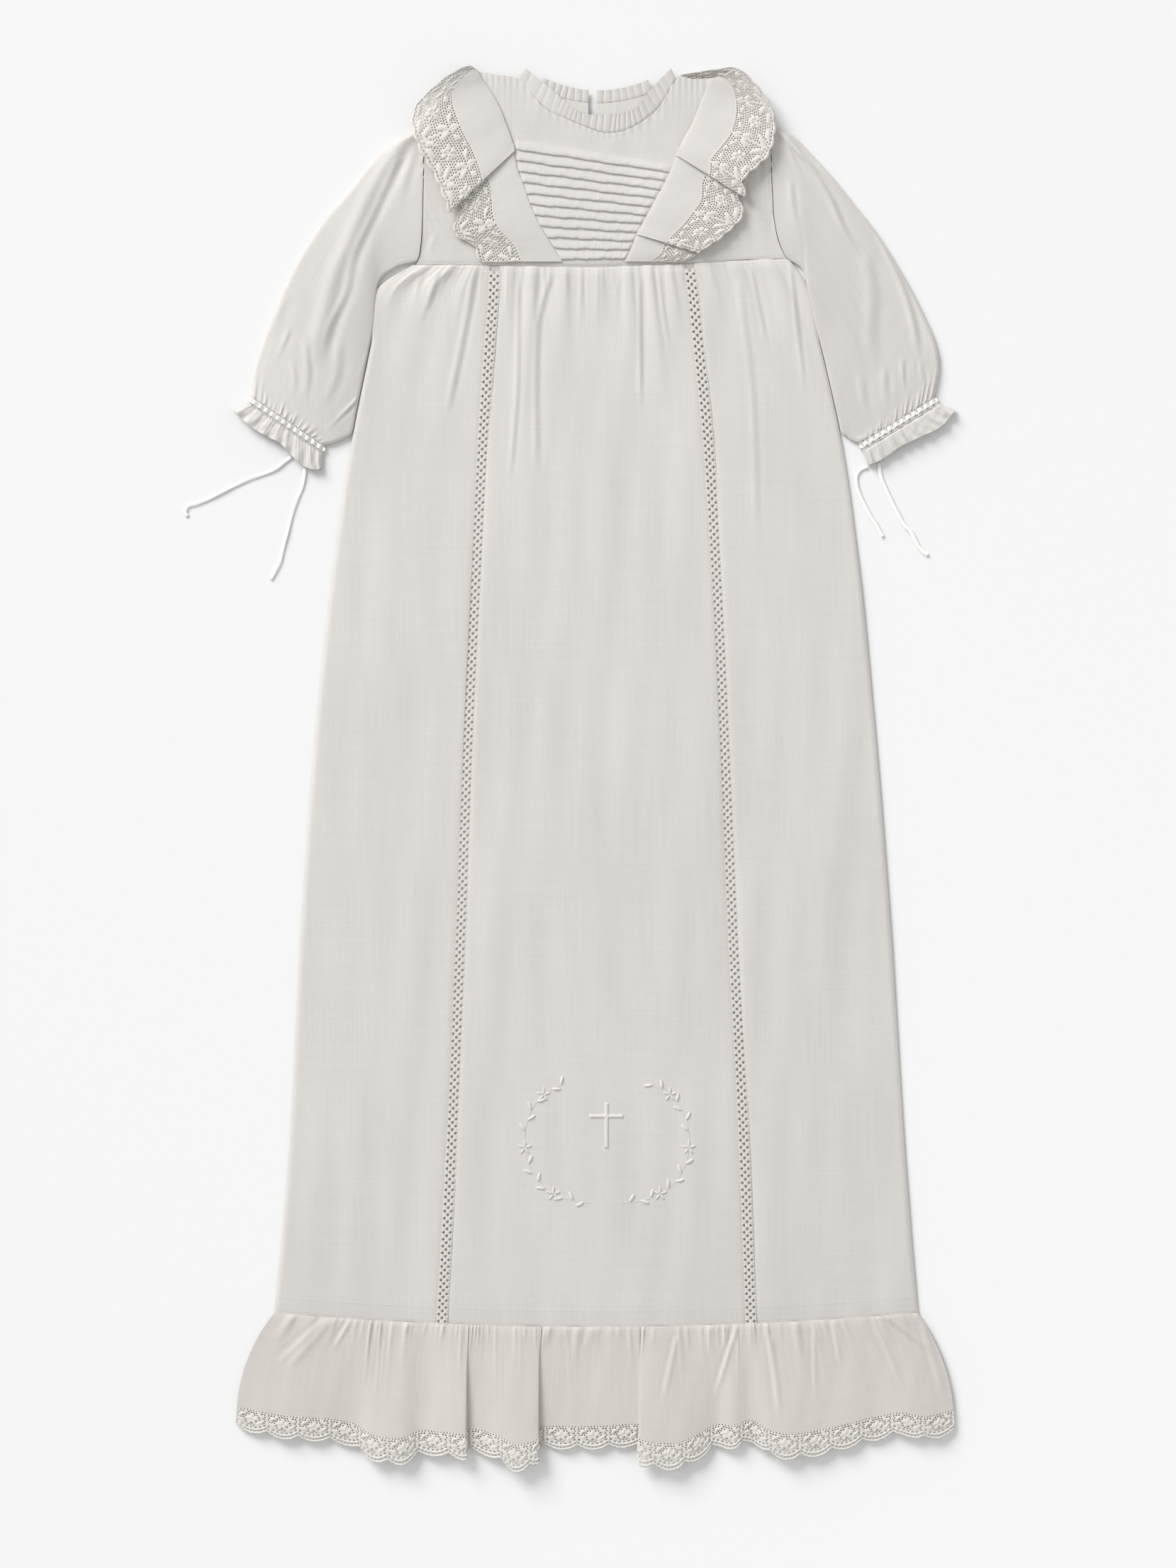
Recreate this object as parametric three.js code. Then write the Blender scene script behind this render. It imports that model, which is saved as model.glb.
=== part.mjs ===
// A baby's christening gown in cotton lawn and lace, lying flat on its back. Sizes are in millimetres.
// +Y runs from the hem to the neck, +X to the right as seen from above, and +Z up.
// The gown lies on z = 0, and the origin is the middle of its outline there.
import * as THREE from "three";

// Thickness of the pieces, and how they lie on each other
const CLOTH = 1.2; // wall of a cloth panel
const TRIM = 1.0; // wall of a frill, a shoulder flounce or a lace edging
const SEAM = 0.3; // gap between two pieces at a seam
const LAYER = CLOTH + SEAM; // one panel on another
const FRONT = LAYER; // underside of the front skirt, which lies on the back skirt
const SHOULDER_RISE = { from: 357, over: 45 }; // the yoke climbs onto the back shoulder flounces

// Skirt: its two side edges at each height, and the seams above and below it
const SKIRT_SIDES = [
  { y: 356, left: -129, right: 136 },
  { y: 343, left: -150, right: 146 },
  { y: 299, left: -158.5, right: 158.5 },
  { y: 237, left: -171, right: 172.5 },
  { y: 143, left: -185, right: 186 },
  { y: 43, left: -196, right: 196 },
  { y: -107, left: -207.5, right: 208 },
  { y: -257, left: -215.5, right: 217.5 },
  { y: -393, left: -226.5, right: 227.5 },
];
const SKIRT_TOP = 356;
const SKIRT_FOOT = -393;
const WAIST_SEAM = [
  { x: -129, y: 356 },
  { x: -87, y: 356 },
  { x: 0, y: 354.5 },
  { x: 60, y: 357 },
  { x: 136, y: 361 },
];
const FOOT_CURVE = { rise: 10, halfWidth: 227 }; // the flounce seam is higher at the sides
const GATHER_LEVELS = [350, 325, 270]; // more heights where the gathers change
const SEAM_REACH = 75; // the waist seam's slope is gone this far below it

// Openwork insertions down the front: where their middle runs
const INSERTION_HALF = 4;
const INSERTIONS = [
  { y: 356, left: -71, right: 66 },
  { y: 343, left: -71.4, right: 67.8 },
  { y: 299, left: -74.6, right: 72.8 },
  { y: 237, left: -79, right: 79.2 },
  { y: 143, left: -83.8, right: 85.2 },
  { y: 43, left: -88.8, right: 90.2 },
  { y: -107, left: -94.6, right: 96.8 },
  { y: -257, left: -101, right: 104.6 },
  { y: -393, left: -108.4, right: 109.8 },
];

// Gathers below the waist: the place at the seam, the height, the width and how far down each one runs
const GATHERS = [
  { at: -118, tall: 1.3, wide: 9, reach: 55 },
  { at: -101, tall: 1.8, wide: 12, reach: 95 },
  { at: -84, tall: 1.0, wide: 9, reach: 70 },
  { at: -60, tall: 1.0, wide: 8, reach: 70 },
  { at: -44, tall: 1.8, wide: 12, reach: 150 },
  { at: -22, tall: 1.4, wide: 12, reach: 90 },
  { at: 2, tall: 1.1, wide: 12, reach: 60 },
  { at: 23, tall: 1.5, wide: 10, reach: 90 },
  { at: 38, tall: 1.7, wide: 8, reach: 110 },
  { at: 52, tall: 1.2, wide: 8, reach: 75 },
  { at: 79, tall: 0.9, wide: 8, reach: 60 },
  { at: 97, tall: 1.2, wide: 11, reach: 80 },
  { at: 119, tall: 1.8, wide: 12, reach: 120 },
];
const GATHER_START = { share: 0.55, full: 15 }; // height at the seam, and how far down it is at its full height
const GATHER_FLANK = 0.9; // where a gather's two sides get a column, as a share of its width
const COLUMN_GAP = { edge: 2, share: 0.008 }; // least distance of a column from an edge and from the next

// Hem flounce: one row for each rib and hollow, from its place in the seam to its place at the lace's edge
const FLOUNCE_RIBS = [
  { seam: -226, hem: -253.5, foot: -466, lift: 0.3 },
  { seam: -200, hem: -218, foot: -473, lift: 3 },
  { seam: -178, hem: -190, foot: -475, lift: 1.6 },
  { seam: -163, hem: -171, foot: -479, lift: 0.8 },
  { seam: -152, hem: -157, foot: -488, lift: 5 },
  { seam: -132, hem: -138, foot: -491, lift: 5.6 },
  { seam: -118, hem: -124, foot: -485, lift: 2.2 },
  { seam: -104, hem: -110, foot: -485, lift: 3.5 },
  { seam: -93, hem: -95, foot: -487, lift: 6 },
  { seam: -86, hem: -87, foot: -483, lift: 0.8 },
  { seam: -78, hem: -77, foot: -484, lift: 1.6 },
  { seam: -68, hem: -67, foot: -489, lift: 5 },
  { seam: -55, hem: -55, foot: -495.5, lift: 7.6 },
  { seam: -41, hem: -44, foot: -490, lift: 6 },
  { seam: -33, hem: -35, foot: -481, lift: 0.6 },
  { seam: -12, hem: -14, foot: -480.5, lift: 1.5 },
  { seam: 10, hem: 9, foot: -480, lift: 1.6 },
  { seam: 26, hem: 27, foot: -479, lift: 0.6 },
  { seam: 36, hem: 35, foot: -490.5, lift: 6.6 },
  { seam: 52, hem: 56, foot: -494, lift: 6 },
  { seam: 70, hem: 74, foot: -486, lift: 3 },
  { seam: 84, hem: 86, foot: -479, lift: 1 },
  { seam: 97, hem: 98, foot: -480, lift: 3.2 },
  { seam: 108, hem: 110, foot: -475.5, lift: 1 },
  { seam: 118, hem: 123, foot: -484, lift: 4.6 },
  { seam: 131, hem: 138, foot: -487, lift: 5.4 },
  { seam: 148, hem: 160, foot: -484, lift: 3.4 },
  { seam: 167, hem: 182, foot: -478, lift: 2.4 },
  { seam: 184, hem: 200, foot: -473.5, lift: 0.8 },
  { seam: 199, hem: 216, foot: -470, lift: 2.6 },
  { seam: 212, hem: 232, foot: -473.5, lift: 3.6 },
  { seam: 227, hem: 253, foot: -469, lift: 0.3 },
];
const FLOUNCE_SPREAD = 2.4; // how early the flounce widens below its seam
const FLOUNCE_GATHER = 0.8; // height of the gathers in the flounce seam
const RIB_AT_SEAM = 0.15; // share of a rib's height that it already has in the seam
const FLOUNCE_LEVELS = [0.15, 0.38, 0.6]; // shares of its depth, between its seam and its lace
const LACE_FROM = 0.795; // share of the flounce's depth at which the lace edging starts
const LACE_SCALLOP = { pitch: 24, deep: 2.4 };
const BACK_HEM = { foot: -474, rise: 13, halfWidth: 253, seam: [-226, 227], hem: [-252.5, 252] };

// Yoke: the two seams that carry the shoulder flounces, the armholes, the neckline and the shoulders
const CENTRE_SEAMS = {
  left: [
    { y: 356.6, x: -23 },
    { y: 370, x: -30.5 },
    { y: 385, x: -40 },
    { y: 403, x: -48 },
    { y: 418, x: -53.5 },
    { y: 433, x: -56.5 },
    { y: 445, x: -57.5 },
    { y: 460, x: -63 },
    { y: 475, x: -73 },
    { y: 492, x: -82.5 },
  ],
  right: [
    { y: 356.6, x: 20 },
    { y: 368, x: 25 },
    { y: 383, x: 32.5 },
    { y: 398, x: 40 },
    { y: 415, x: 50 },
    { y: 432, x: 57 },
    { y: 448, x: 67.5 },
    { y: 468, x: 77 },
    { y: 487, x: 80 },
  ],
};
const ARMHOLES = [
  { y: 361, left: -124.6, right: 134 },
  { y: 372, left: -122.8, right: 129.4 },
  { y: 385, left: -122, right: 126.4 },
  { y: 405, left: -121.5, right: 124.8 },
  { y: 429, left: -121, right: 124 },
  { y: 458, left: -121, right: 124 },
];
const ARMHOLE_GAP = 0.6; // from the yoke's edge to the sleeve's
const SHOULDER_END = 458; // height of the shoulder line at the armhole
const NECK_EDGE = [
  { x: -55, y: 487, freeX: -50, freeY: 495 },
  { x: -36, y: 466.5, freeX: -31, freeY: 479.5 },
  { x: -22, y: 459.5, freeX: -18.5, freeY: 468.5 },
  { x: -9, y: 454, freeX: -8, freeY: 462.5 },
  { x: 6.5, y: 449, freeX: 8, freeY: 461.5 },
  { x: 20, y: 450.5, freeX: 20, freeY: 463 },
  { x: 33, y: 457, freeX: 29.5, freeY: 467 },
  { x: 45, y: 467.5, freeX: 38.5, freeY: 479 },
  { x: 57, y: 487, freeX: 53.5, freeY: 494 },
];
const TUCKS = {
  count: 11,
  drop: 1.3,
  step: 0.5,
  leftTop: 445,
  leftPitch: 7.75,
  rightTop: 427,
  rightPitch: 6.05,
};
const TUCK_HEADROOM = 5; // plain cloth above the top tuck before the neck shaping starts
const NECK_SHARES = [1, 0.6, 0.25]; // lines across the cloth between the neck and that plain strip
const BACK_NECK = { low: 470, rise: 17, middle: 2, halfWidth: 57 };
const BACK_SLIT = { left: -5, right: 0.8, foot: 400, over: 70, middle: -2 }; // it gapes a little at the neck
const BACK_LEVELS = [0, 0.13, 0.27, 0.4, 0.7, 1];
const BACK_FAN = 1.6; // the upper part of each back fans out from its armhole to its shoulder
// Upper edge of each back: along the shoulder, then round the neck at the places that have no height here
const BACK_TOPS = {
  left: [[-121, 458], [-100, 474], [-82.5, 488], [-55, 486.4], [-40], [-27], [-15], [BACK_SLIT.left]],
  right: [[124, 458], [104, 472], [82, 484], [59, 486.6], [42], [28], [14], [BACK_SLIT.right]],
};
const BACK_BUTTON = { x: -11, y: 461, radius: 5, sides: 24 };

// Shoulder flounces: each row is a spoke from the seam to the free edge, with the edge's height over the yoke
const FLOUNCE_LEFT = [
  { x: -23.5, y: 358.2, edgeX: -83, edgeY: 358, lift: 0 },
  { x: -31, y: 370, edgeX: -86.5, edgeY: 369, lift: 0.6 },
  { x: -40, y: 385, edgeX: -97.5, edgeY: 375, lift: 1.2 },
  { x: -46, y: 398, edgeX: -100.5, edgeY: 381, lift: 1.4 },
  { x: -50, y: 410, edgeX: -98, edgeY: 389, lift: 1 },
  { x: -54, y: 420, edgeX: -95, edgeY: 396, lift: 0.8 },
  { x: -55.5, y: 425, edgeX: -95.8, edgeY: 395.4, lift: 1.6 },
  { x: -56.2, y: 429, edgeX: -97, edgeY: 394.6, lift: 2.9 },
  { x: -56.8, y: 432.5, edgeX: -99.2, edgeY: 393.4, lift: 4.1 },
  { x: -57.2, y: 436, edgeX: -102, edgeY: 392.4, lift: 4.9 },
  { x: -57.8, y: 439, edgeX: -104, edgeY: 395, lift: 5.4 },
  { x: -58.5, y: 442, edgeX: -106.4, edgeY: 400, lift: 5.4 },
  { x: -60, y: 447, edgeX: -110, edgeY: 409, lift: 5 },
  { x: -63, y: 455, edgeX: -115, edgeY: 420, lift: 4.6 },
  { x: -66, y: 463, edgeX: -124, edgeY: 435, lift: 5 },
  { x: -70, y: 471, edgeX: -129, edgeY: 450, lift: 4 },
  { x: -74, y: 478, edgeX: -129.5, edgeY: 460, lift: 3.4 },
  { x: -78, y: 484, edgeX: -125, edgeY: 470, lift: 3.5 },
  { x: -80.5, y: 488, edgeX: -110, edgeY: 484, lift: 3.6 },
  { x: -82, y: 491, edgeX: -97, edgeY: 492.5, lift: 2.6 },
  { x: -82.5, y: 492.5, edgeX: -88, edgeY: 496, lift: 1.5 },
];
const FLOUNCE_RIGHT = [
  { x: 20.5, y: 358.2, edgeX: 60, edgeY: 358, lift: 0 },
  { x: 24, y: 365, edgeX: 70, edgeY: 361, lift: 0.5 },
  { x: 26, y: 370, edgeX: 73.4, edgeY: 363.6, lift: 0.8 },
  { x: 28, y: 374, edgeX: 73.6, edgeY: 363.8, lift: 1.9 },
  { x: 29.4, y: 377, edgeX: 73.8, edgeY: 364, lift: 3.1 },
  { x: 30.6, y: 380, edgeX: 74.6, edgeY: 364.5, lift: 4.1 },
  { x: 32.4, y: 383.4, edgeX: 77.4, edgeY: 366.2, lift: 4.6 },
  { x: 34.6, y: 387.5, edgeX: 83, edgeY: 369.6, lift: 4.6 },
  { x: 37, y: 392, edgeX: 90, edgeY: 374.5, lift: 4.2 },
  { x: 43.5, y: 404, edgeX: 101, edgeY: 384.5, lift: 3.4 },
  { x: 47, y: 410, edgeX: 105, edgeY: 391, lift: 3 },
  { x: 50, y: 416, edgeX: 103, edgeY: 399, lift: 3 },
  { x: 52.5, y: 421, edgeX: 100.6, edgeY: 404, lift: 3.5 },
  { x: 54, y: 425, edgeX: 101.6, edgeY: 403.4, lift: 4.5 },
  { x: 55.4, y: 429, edgeX: 103.4, edgeY: 402.8, lift: 5.7 },
  { x: 56.8, y: 433, edgeX: 106, edgeY: 402.4, lift: 6.8 },
  { x: 58.6, y: 437.4, edgeX: 105.6, edgeY: 407, lift: 7.4 },
  { x: 61, y: 442.4, edgeX: 104, edgeY: 412.8, lift: 7.6 },
  { x: 64, y: 448, edgeX: 108, edgeY: 418, lift: 7 },
  { x: 67.5, y: 454, edgeX: 115, edgeY: 424, lift: 6.5 },
  { x: 70, y: 460, edgeX: 122, edgeY: 431, lift: 6.6 },
  { x: 72, y: 465, edgeX: 126, edgeY: 442, lift: 6 },
  { x: 74, y: 470, edgeX: 127, edgeY: 454, lift: 5 },
  { x: 76, y: 475, edgeX: 124.5, edgeY: 465, lift: 4.6 },
  { x: 78, y: 480, edgeX: 118, edgeY: 477, lift: 4.6 },
  { x: 79, y: 484, edgeX: 108, edgeY: 486, lift: 4 },
  { x: 80, y: 487, edgeX: 97, edgeY: 489, lift: 2 },
];
const FLOUNCE_SEAM_LIFT = 0.12; // share of the edge's height that the flounce has at its seam
const BERTHA_LACE_FROM = 0.45; // share of a shoulder flounce's width at which its lace starts
const BERTHA_SPOKES = { cloth: [0.03, 0.15, 0.3], lace: [0.65, 0.83, 0.999], gap: 0.016 };
const BACK_FLOUNCES = {
  left: [
    { x: -60, y: 405, edgeX: -84, edgeY: 404 },
    { x: -62, y: 425, edgeX: -102, edgeY: 423 },
    { x: -65, y: 445, edgeX: -114, edgeY: 445 },
    { x: -68, y: 462, edgeX: -117, edgeY: 462 },
    { x: -71, y: 473, edgeX: -108, edgeY: 475 },
    { x: -74, y: 478, edgeX: -92, edgeY: 485 },
  ],
  right: [
    { x: 60, y: 405, edgeX: 84, edgeY: 404 },
    { x: 62, y: 425, edgeX: 104, edgeY: 423 },
    { x: 66, y: 445, edgeX: 116, edgeY: 447 },
    { x: 70, y: 460, edgeX: 119, edgeY: 466 },
    { x: 73, y: 468, edgeX: 118, edgeY: 477 },
    { x: 74, y: 474, edgeX: 110, edgeY: 488 },
    { x: 73, y: 479, edgeX: 100, edgeY: 495.5 },
    { x: 69, y: 482, edgeX: 86, edgeY: 494.5 },
    { x: 63, y: 484, edgeX: 60, edgeY: 490.5 },
  ],
};

// Neck frills
const FRONT_PLEATS = 26;
const BACK_PLEATS = 7; // on each side of the back opening
const BACK_FRILL = { reach: 40, deep: 9, height: 2.05, wave: 0.25 };
const FRONT_FRILL = { height: 3.6, wave: 1.6 };

// Sleeves: flattened tubes, with one row for each ring from the armhole to the cuff
const TUBE_EDGE = 1.5; // radius of a sleeve's folded edge
const SLEEVES = {
  left: [
    { outX: -121.5, outY: 456.5, inX: -126.6, inY: 359.6, dome: 1.4 },
    { outX: -140, outY: 444.8, inX: -140.6, inY: 354.2, dome: 1.8 },
    { outX: -154, outY: 431.8, inX: -153.2, inY: 342.6, dome: 2.2 },
    { outX: -172.5, outY: 409, inX: -157.2, inY: 311, dome: 2.4 },
    { outX: -188.5, outY: 390.8, inX: -160.6, inY: 293, dome: 2.4 },
    { outX: -204, outY: 368, inX: -164.8, inY: 272, dome: 2.4 },
    { outX: -216, outY: 346, inX: -168.7, inY: 253, dome: 2.4 },
    { outX: -226, outY: 324, inX: -171.9, inY: 237.5, dome: 2.4 },
    { outX: -234.7, outY: 300.5, inX: -177, inY: 233.5, dome: 2.2 },
    { outX: -240.5, outY: 281, inX: -184, inY: 230.4, dome: 1.8 },
    { outX: -242.3, outY: 263.8, inX: -190.5, inY: 228.8, dome: 1.2 },
  ],
  right: [
    { outX: 124.5, outY: 456.5, inX: 134, inY: 364, dome: 1.4 },
    { outX: 139, outY: 447.8, inX: 146, inY: 352.6, dome: 1.8 },
    { outX: 150, outY: 436.8, inX: 149.8, inY: 338, dome: 2.2 },
    { outX: 167.5, outY: 417.8, inX: 155, inY: 315, dome: 2.4 },
    { outX: 182.5, outY: 399, inX: 161, inY: 292, dome: 2.4 },
    { outX: 197.5, outY: 380, inX: 167, inY: 266, dome: 2.4 },
    { outX: 211, outY: 359, inX: 170.7, inY: 250, dome: 2.4 },
    { outX: 222.5, outY: 338.8, inX: 173.4, inY: 238, dome: 2.4 },
    { outX: 232.5, outY: 318.8, inX: 177, inY: 235, dome: 2.4 },
    { outX: 240, outY: 301, inX: 180, inY: 232.6, dome: 2.2 },
    { outX: 242.6, outY: 283.8, inX: 183, inY: 231.2, dome: 1.8 },
    { outX: 239.2, outY: 263.6, inX: 185.2, inY: 230.4, dome: 1.2 },
  ],
};
// Soft folds along each sleeve: place across it, height, width, and the rings where each starts and ends
const SLEEVE_FOLDS = {
  left: [
    { at: 0.2, tall: 0.5, wide: 0.09, from: 1, to: 7 },
    { at: 0.4, tall: 0.6, wide: 0.09, from: 0, to: 5 },
    { at: 0.6, tall: 0.6, wide: 0.09, from: 4, to: 10 },
    { at: 0.8, tall: 0.7, wide: 0.09, from: 2, to: 8 },
    { at: 0.3, tall: 0.6, wide: 0.09, from: 7, to: 10 },
  ],
  right: [
    { at: 0.2, tall: 0.6, wide: 0.09, from: 2, to: 8 },
    { at: 0.4, tall: 0.7, wide: 0.09, from: 0, to: 6 },
    { at: 0.6, tall: 0.5, wide: 0.09, from: 1, to: 5 },
    { at: 0.7, tall: 0.7, wide: 0.09, from: 6, to: 11 },
    { at: 0.3, tall: 0.6, wide: 0.09, from: 8, to: 11 },
  ],
};
const SLEEVE_COLUMNS = 9; // points across a sleeve's upper side, between its edges
const BAND_COLUMNS = 5;

// Cuffs: the beading band ends on a straight line, and the frill beyond it on a curved one
const BAND_ENDS = {
  left: { outX: -245.6, outY: 258.6, inX: -192.4, inY: 222.4 },
  right: { outX: 242.6, outY: 258.1, inX: 188.6, inY: 225 },
};
const BAND_DOME = 1.6;
const CUFF_DOME = 1.2;
const CUFF_ENDS = {
  left: [
    { x: -256, y: 255 },
    { x: -248, y: 246 },
    { x: -240, y: 239.6 },
    { x: -232, y: 235 },
    { x: -222, y: 229.6 },
    { x: -214, y: 221.4 },
    { x: -205, y: 213.6 },
    { x: -198, y: 211.4 },
    { x: -192.4, y: 212.4 },
  ],
  right: [
    { x: 254, y: 254 },
    { x: 247.6, y: 245.6 },
    { x: 241, y: 240 },
    { x: 231.4, y: 235.4 },
    { x: 222, y: 231 },
    { x: 214, y: 227 },
    { x: 206.4, y: 221.6 },
    { x: 199, y: 217 },
    { x: 192.3, y: 214.5 },
  ],
};
const CUFF_WAVES = 8;
const CUFF_WAVE = 1.4; // height of the frill's waves at its free edge

// Ribbon ends: the drawstring of each cuff comes out of the frill and lies on the surface
const RIBBON = { wide: 2.6, thick: 0.7, height: 0.5, step: 6.5 };
const RIBBONS = {
  ribbon_left_outer: [
    [-214.6, 220.7], [-219, 217.9], [-225.5, 212.8], [-234.5, 208.8], [-242, 206.2], [-250, 202.8],
    [-257, 199.6], [-265, 195.6], [-273, 191.4], [-281, 188], [-288.6, 185], [-289.6, 181], [-288, 178.8],
  ],
  ribbon_left_inner: [
    [-205.2, 212.9], [-206, 206], [-207.5, 199.2], [-210, 192.8], [-213, 184.8], [-215.4, 177],
    [-217.3, 169.5], [-220.5, 157.2], [-223.5, 145], [-226.4, 139.6], [-229.5, 134.2],
  ],
  ribbon_right_inner: [
    [192.2, 214.1], [187, 211.8], [184.2, 207], [184.6, 200.6], [187.5, 191.8], [191, 184.6], [194.4, 178.2],
    [198.4, 172.4], [201, 167.6], [203, 164.2],
  ],
  ribbon_right_outer: [
    [200, 217], [200.6, 212], [201.2, 208.6], [204.8, 198.8], [207.6, 192.4], [210, 187.2],
    [213.2, 181.2], [216.2, 175.6], [219.2, 171.2], [222, 168.8], [225.4, 163], [228.4, 157.2],
    [231.6, 153.6], [234.6, 151.2],
  ],
};

// Finishes
const cloth = new THREE.MeshStandardMaterial({ color: 0xdcd7d0, roughness: 0.9 });
const lace = new THREE.MeshStandardMaterial({ color: 0xdad5cd, roughness: 0.85 });
const satin = new THREE.MeshStandardMaterial({ color: 0xf0eeea, roughness: 0.45 });
const pearl = new THREE.MeshStandardMaterial({ color: 0xe9e5de, roughness: 0.3 });

const gown = new THREE.Group();

// Curves and heights
const mix = (a, b, t) => a + (b - a) * t;
const clamp = (value, low, high) => Math.min(Math.max(value, low), high);
const ease = (t) => clamp(t, 0, 1) ** 2 * (3 - 2 * clamp(t, 0, 1));
const bump = (t) => (Math.abs(t) < 1 ? 0.5 + 0.5 * Math.cos(Math.PI * t) : 0);
const steps = (count) => Array.from({ length: count + 1 }, (_, i) => i / count);

// A value on the straight line between the two rows that hold the height or place `at` in column `by`.
function lookup(rows, by, key, at) {
  const way = Math.sign(rows.at(-1)[by] - rows[0][by]);
  let i = 0;
  while (i < rows.length - 2 && (at - rows[i + 1][by]) * way > 0) i += 1;
  const t = clamp((at - rows[i][by]) / (rows[i + 1][by] - rows[i][by]), 0, 1);
  return mix(rows[i][key], rows[i + 1][key], t);
}

// A value on the smooth curve through a column, where place 2.5 is halfway from row 2 to row 3.
function along(rows, key, place) {
  const last = rows.length - 1;
  const i = clamp(Math.floor(place), 0, last - 1);
  const t = place - i;
  const [a, b, c, d] = [i - 1, i, i + 1, i + 2].map((k) => rows[clamp(k, 0, last)][key]);
  return b + 0.5 * t * (c - a + t * (2 * a - 5 * b + 4 * c - d + t * (3 * (b - c) + d - a)));
}

// A value on the straight line between the rows either side of a place.
function between(rows, key, place) {
  const i = clamp(Math.floor(place), 0, rows.length - 2);
  return mix(rows[i][key], rows[i + 1][key], place - i);
}

const rise = (y) => LAYER * ease((y - SHOULDER_RISE.from) / SHOULDER_RISE.over);
const waistAt = (x) => lookup(WAIST_SEAM, "x", "y", x);
const footAt = (x) => SKIRT_FOOT + FOOT_CURVE.rise * (x / FOOT_CURVE.halfWidth) ** 2;

// A closed wall over a grid: outer(u, v) and inner(u, v) give its faces. A round wall closes on itself in u.
function addWall({ name, material, across, down, outer, inner, round = false }) {
  const grid = [outer, inner].map((face) => down.map((v) => across.map((u) => face(u, v))));
  const columns = across.length;
  const size = columns * down.length;
  const faces = [];
  const quad = (a, b, c, d) => faces.push(a, b, c, a, c, d);
  const at = (i, j) => (i % columns) + j * columns;
  const spans = round ? columns : columns - 1;
  for (let j = 0; j < down.length - 1; j += 1)
    for (let i = 0; i < spans; i += 1) {
      quad(at(i, j), at(i + 1, j), at(i + 1, j + 1), at(i, j + 1));
      quad(size + at(i, j), size + at(i, j + 1), size + at(i + 1, j + 1), size + at(i + 1, j));
    }
  const end = down.length - 1;
  for (let i = 0; i < spans; i += 1) {
    quad(at(i, 0), size + at(i, 0), size + at(i + 1, 0), at(i + 1, 0));
    quad(at(i, end), at(i + 1, end), size + at(i + 1, end), size + at(i, end));
  }
  if (!round)
    for (let j = 0; j < end; j += 1) {
      quad(at(0, j), at(0, j + 1), size + at(0, j + 1), size + at(0, j));
      const [near, far] = [at(columns - 1, j), at(columns - 1, j + 1)];
      quad(near, size + near, size + far, far);
    }
  const points = grid.flat(2);
  if (volume(points, faces) < 0) faces.reverse();
  const shape = new THREE.BufferGeometry();
  shape.setAttribute("position", new THREE.Float32BufferAttribute(points.flatMap((p) => p.toArray()), 3));
  shape.setIndex(faces);
  addMesh(name, material, shape);
}

function volume(points, faces) {
  let sum = 0;
  for (let k = 0; k < faces.length; k += 3) {
    const [a, b, c] = [faces[k], faces[k + 1], faces[k + 2]].map((i) => points[i]);
    sum += a.dot(b.clone().cross(c));
  }
  return sum;
}

function addMesh(name, material, shape) {
  const mesh = new THREE.Mesh(shape, material);
  mesh.name = name;
  mesh.geometry.computeVertexNormals();
  gown.add(mesh);
}

// A flat panel: plan(u, v) is its outline seen from above, and base(p) the height of its underside.
function addPanel({ plan, base, top = () => 0, thick = CLOTH, ...piece }) {
  const at = (u, v, extra) => {
    const [x, y] = plan(u, v);
    return new THREE.Vector3(x, y, base(x, y) + extra(u, v));
  };
  addWall({
    ...piece,
    outer: (u, v) => at(u, v, () => thick + top(u, v)),
    inner: (u, v) => at(u, v, () => 0),
  });
}

// A wall of even thickness on both sides of the surface middle(u, v). At a seam it stays square to the seam.
function addSheet({ middle, thick, seams = [], ...piece }) {
  const nudge = 1e-3;
  const face = (side) => (u, v) => {
    const p = middle(u, v);
    const across = middle(u + nudge, v).sub(middle(u - nudge, v));
    const down = middle(u, v + nudge).sub(middle(u, v - nudge));
    const normal = across.cross(down);
    if (seams.includes(v)) normal.y = 0;
    return p.addScaledVector(normal.normalize(), (side * thick) / 2);
  };
  addWall({ ...piece, outer: face(1), inner: face(-1) });
}

// Skirt
const SKIRT_LEVELS = [...SKIRT_SIDES.map((row) => row.y), ...GATHER_LEVELS].sort((a, b) => b - a);

function skirtPlan(left, right) {
  return (u, level) => {
    const x = mix(left(level), right(level), u);
    const top = ease(1 - (SKIRT_TOP - level) / SEAM_REACH) * (waistAt(x) - SEAM - SKIRT_TOP);
    const foot = ease((SKIRT_FOOT + SEAM_REACH - level) / SEAM_REACH) * (footAt(x) - SKIRT_FOOT);
    return [x, level + top + foot];
  };
}

const sideOf = (side) => (level) => lookup(SKIRT_SIDES, "y", side, level);
const insertionOf = (side, shift) => (level) => lookup(INSERTIONS, "y", side, level) + shift;
const PANEL_GAP = INSERTION_HALF + SEAM;

function gatherHeight(waistX, level) {
  const depth = SKIRT_TOP - level;
  const row = (g) => g.tall * bump((waistX - g.at) / g.wide) * ease(1 - depth / g.reach);
  const full = mix(GATHER_START.share, 1, ease(depth / GATHER_START.full));
  return full * GATHERS.reduce((sum, g) => sum + row(g), 0);
}

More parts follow.
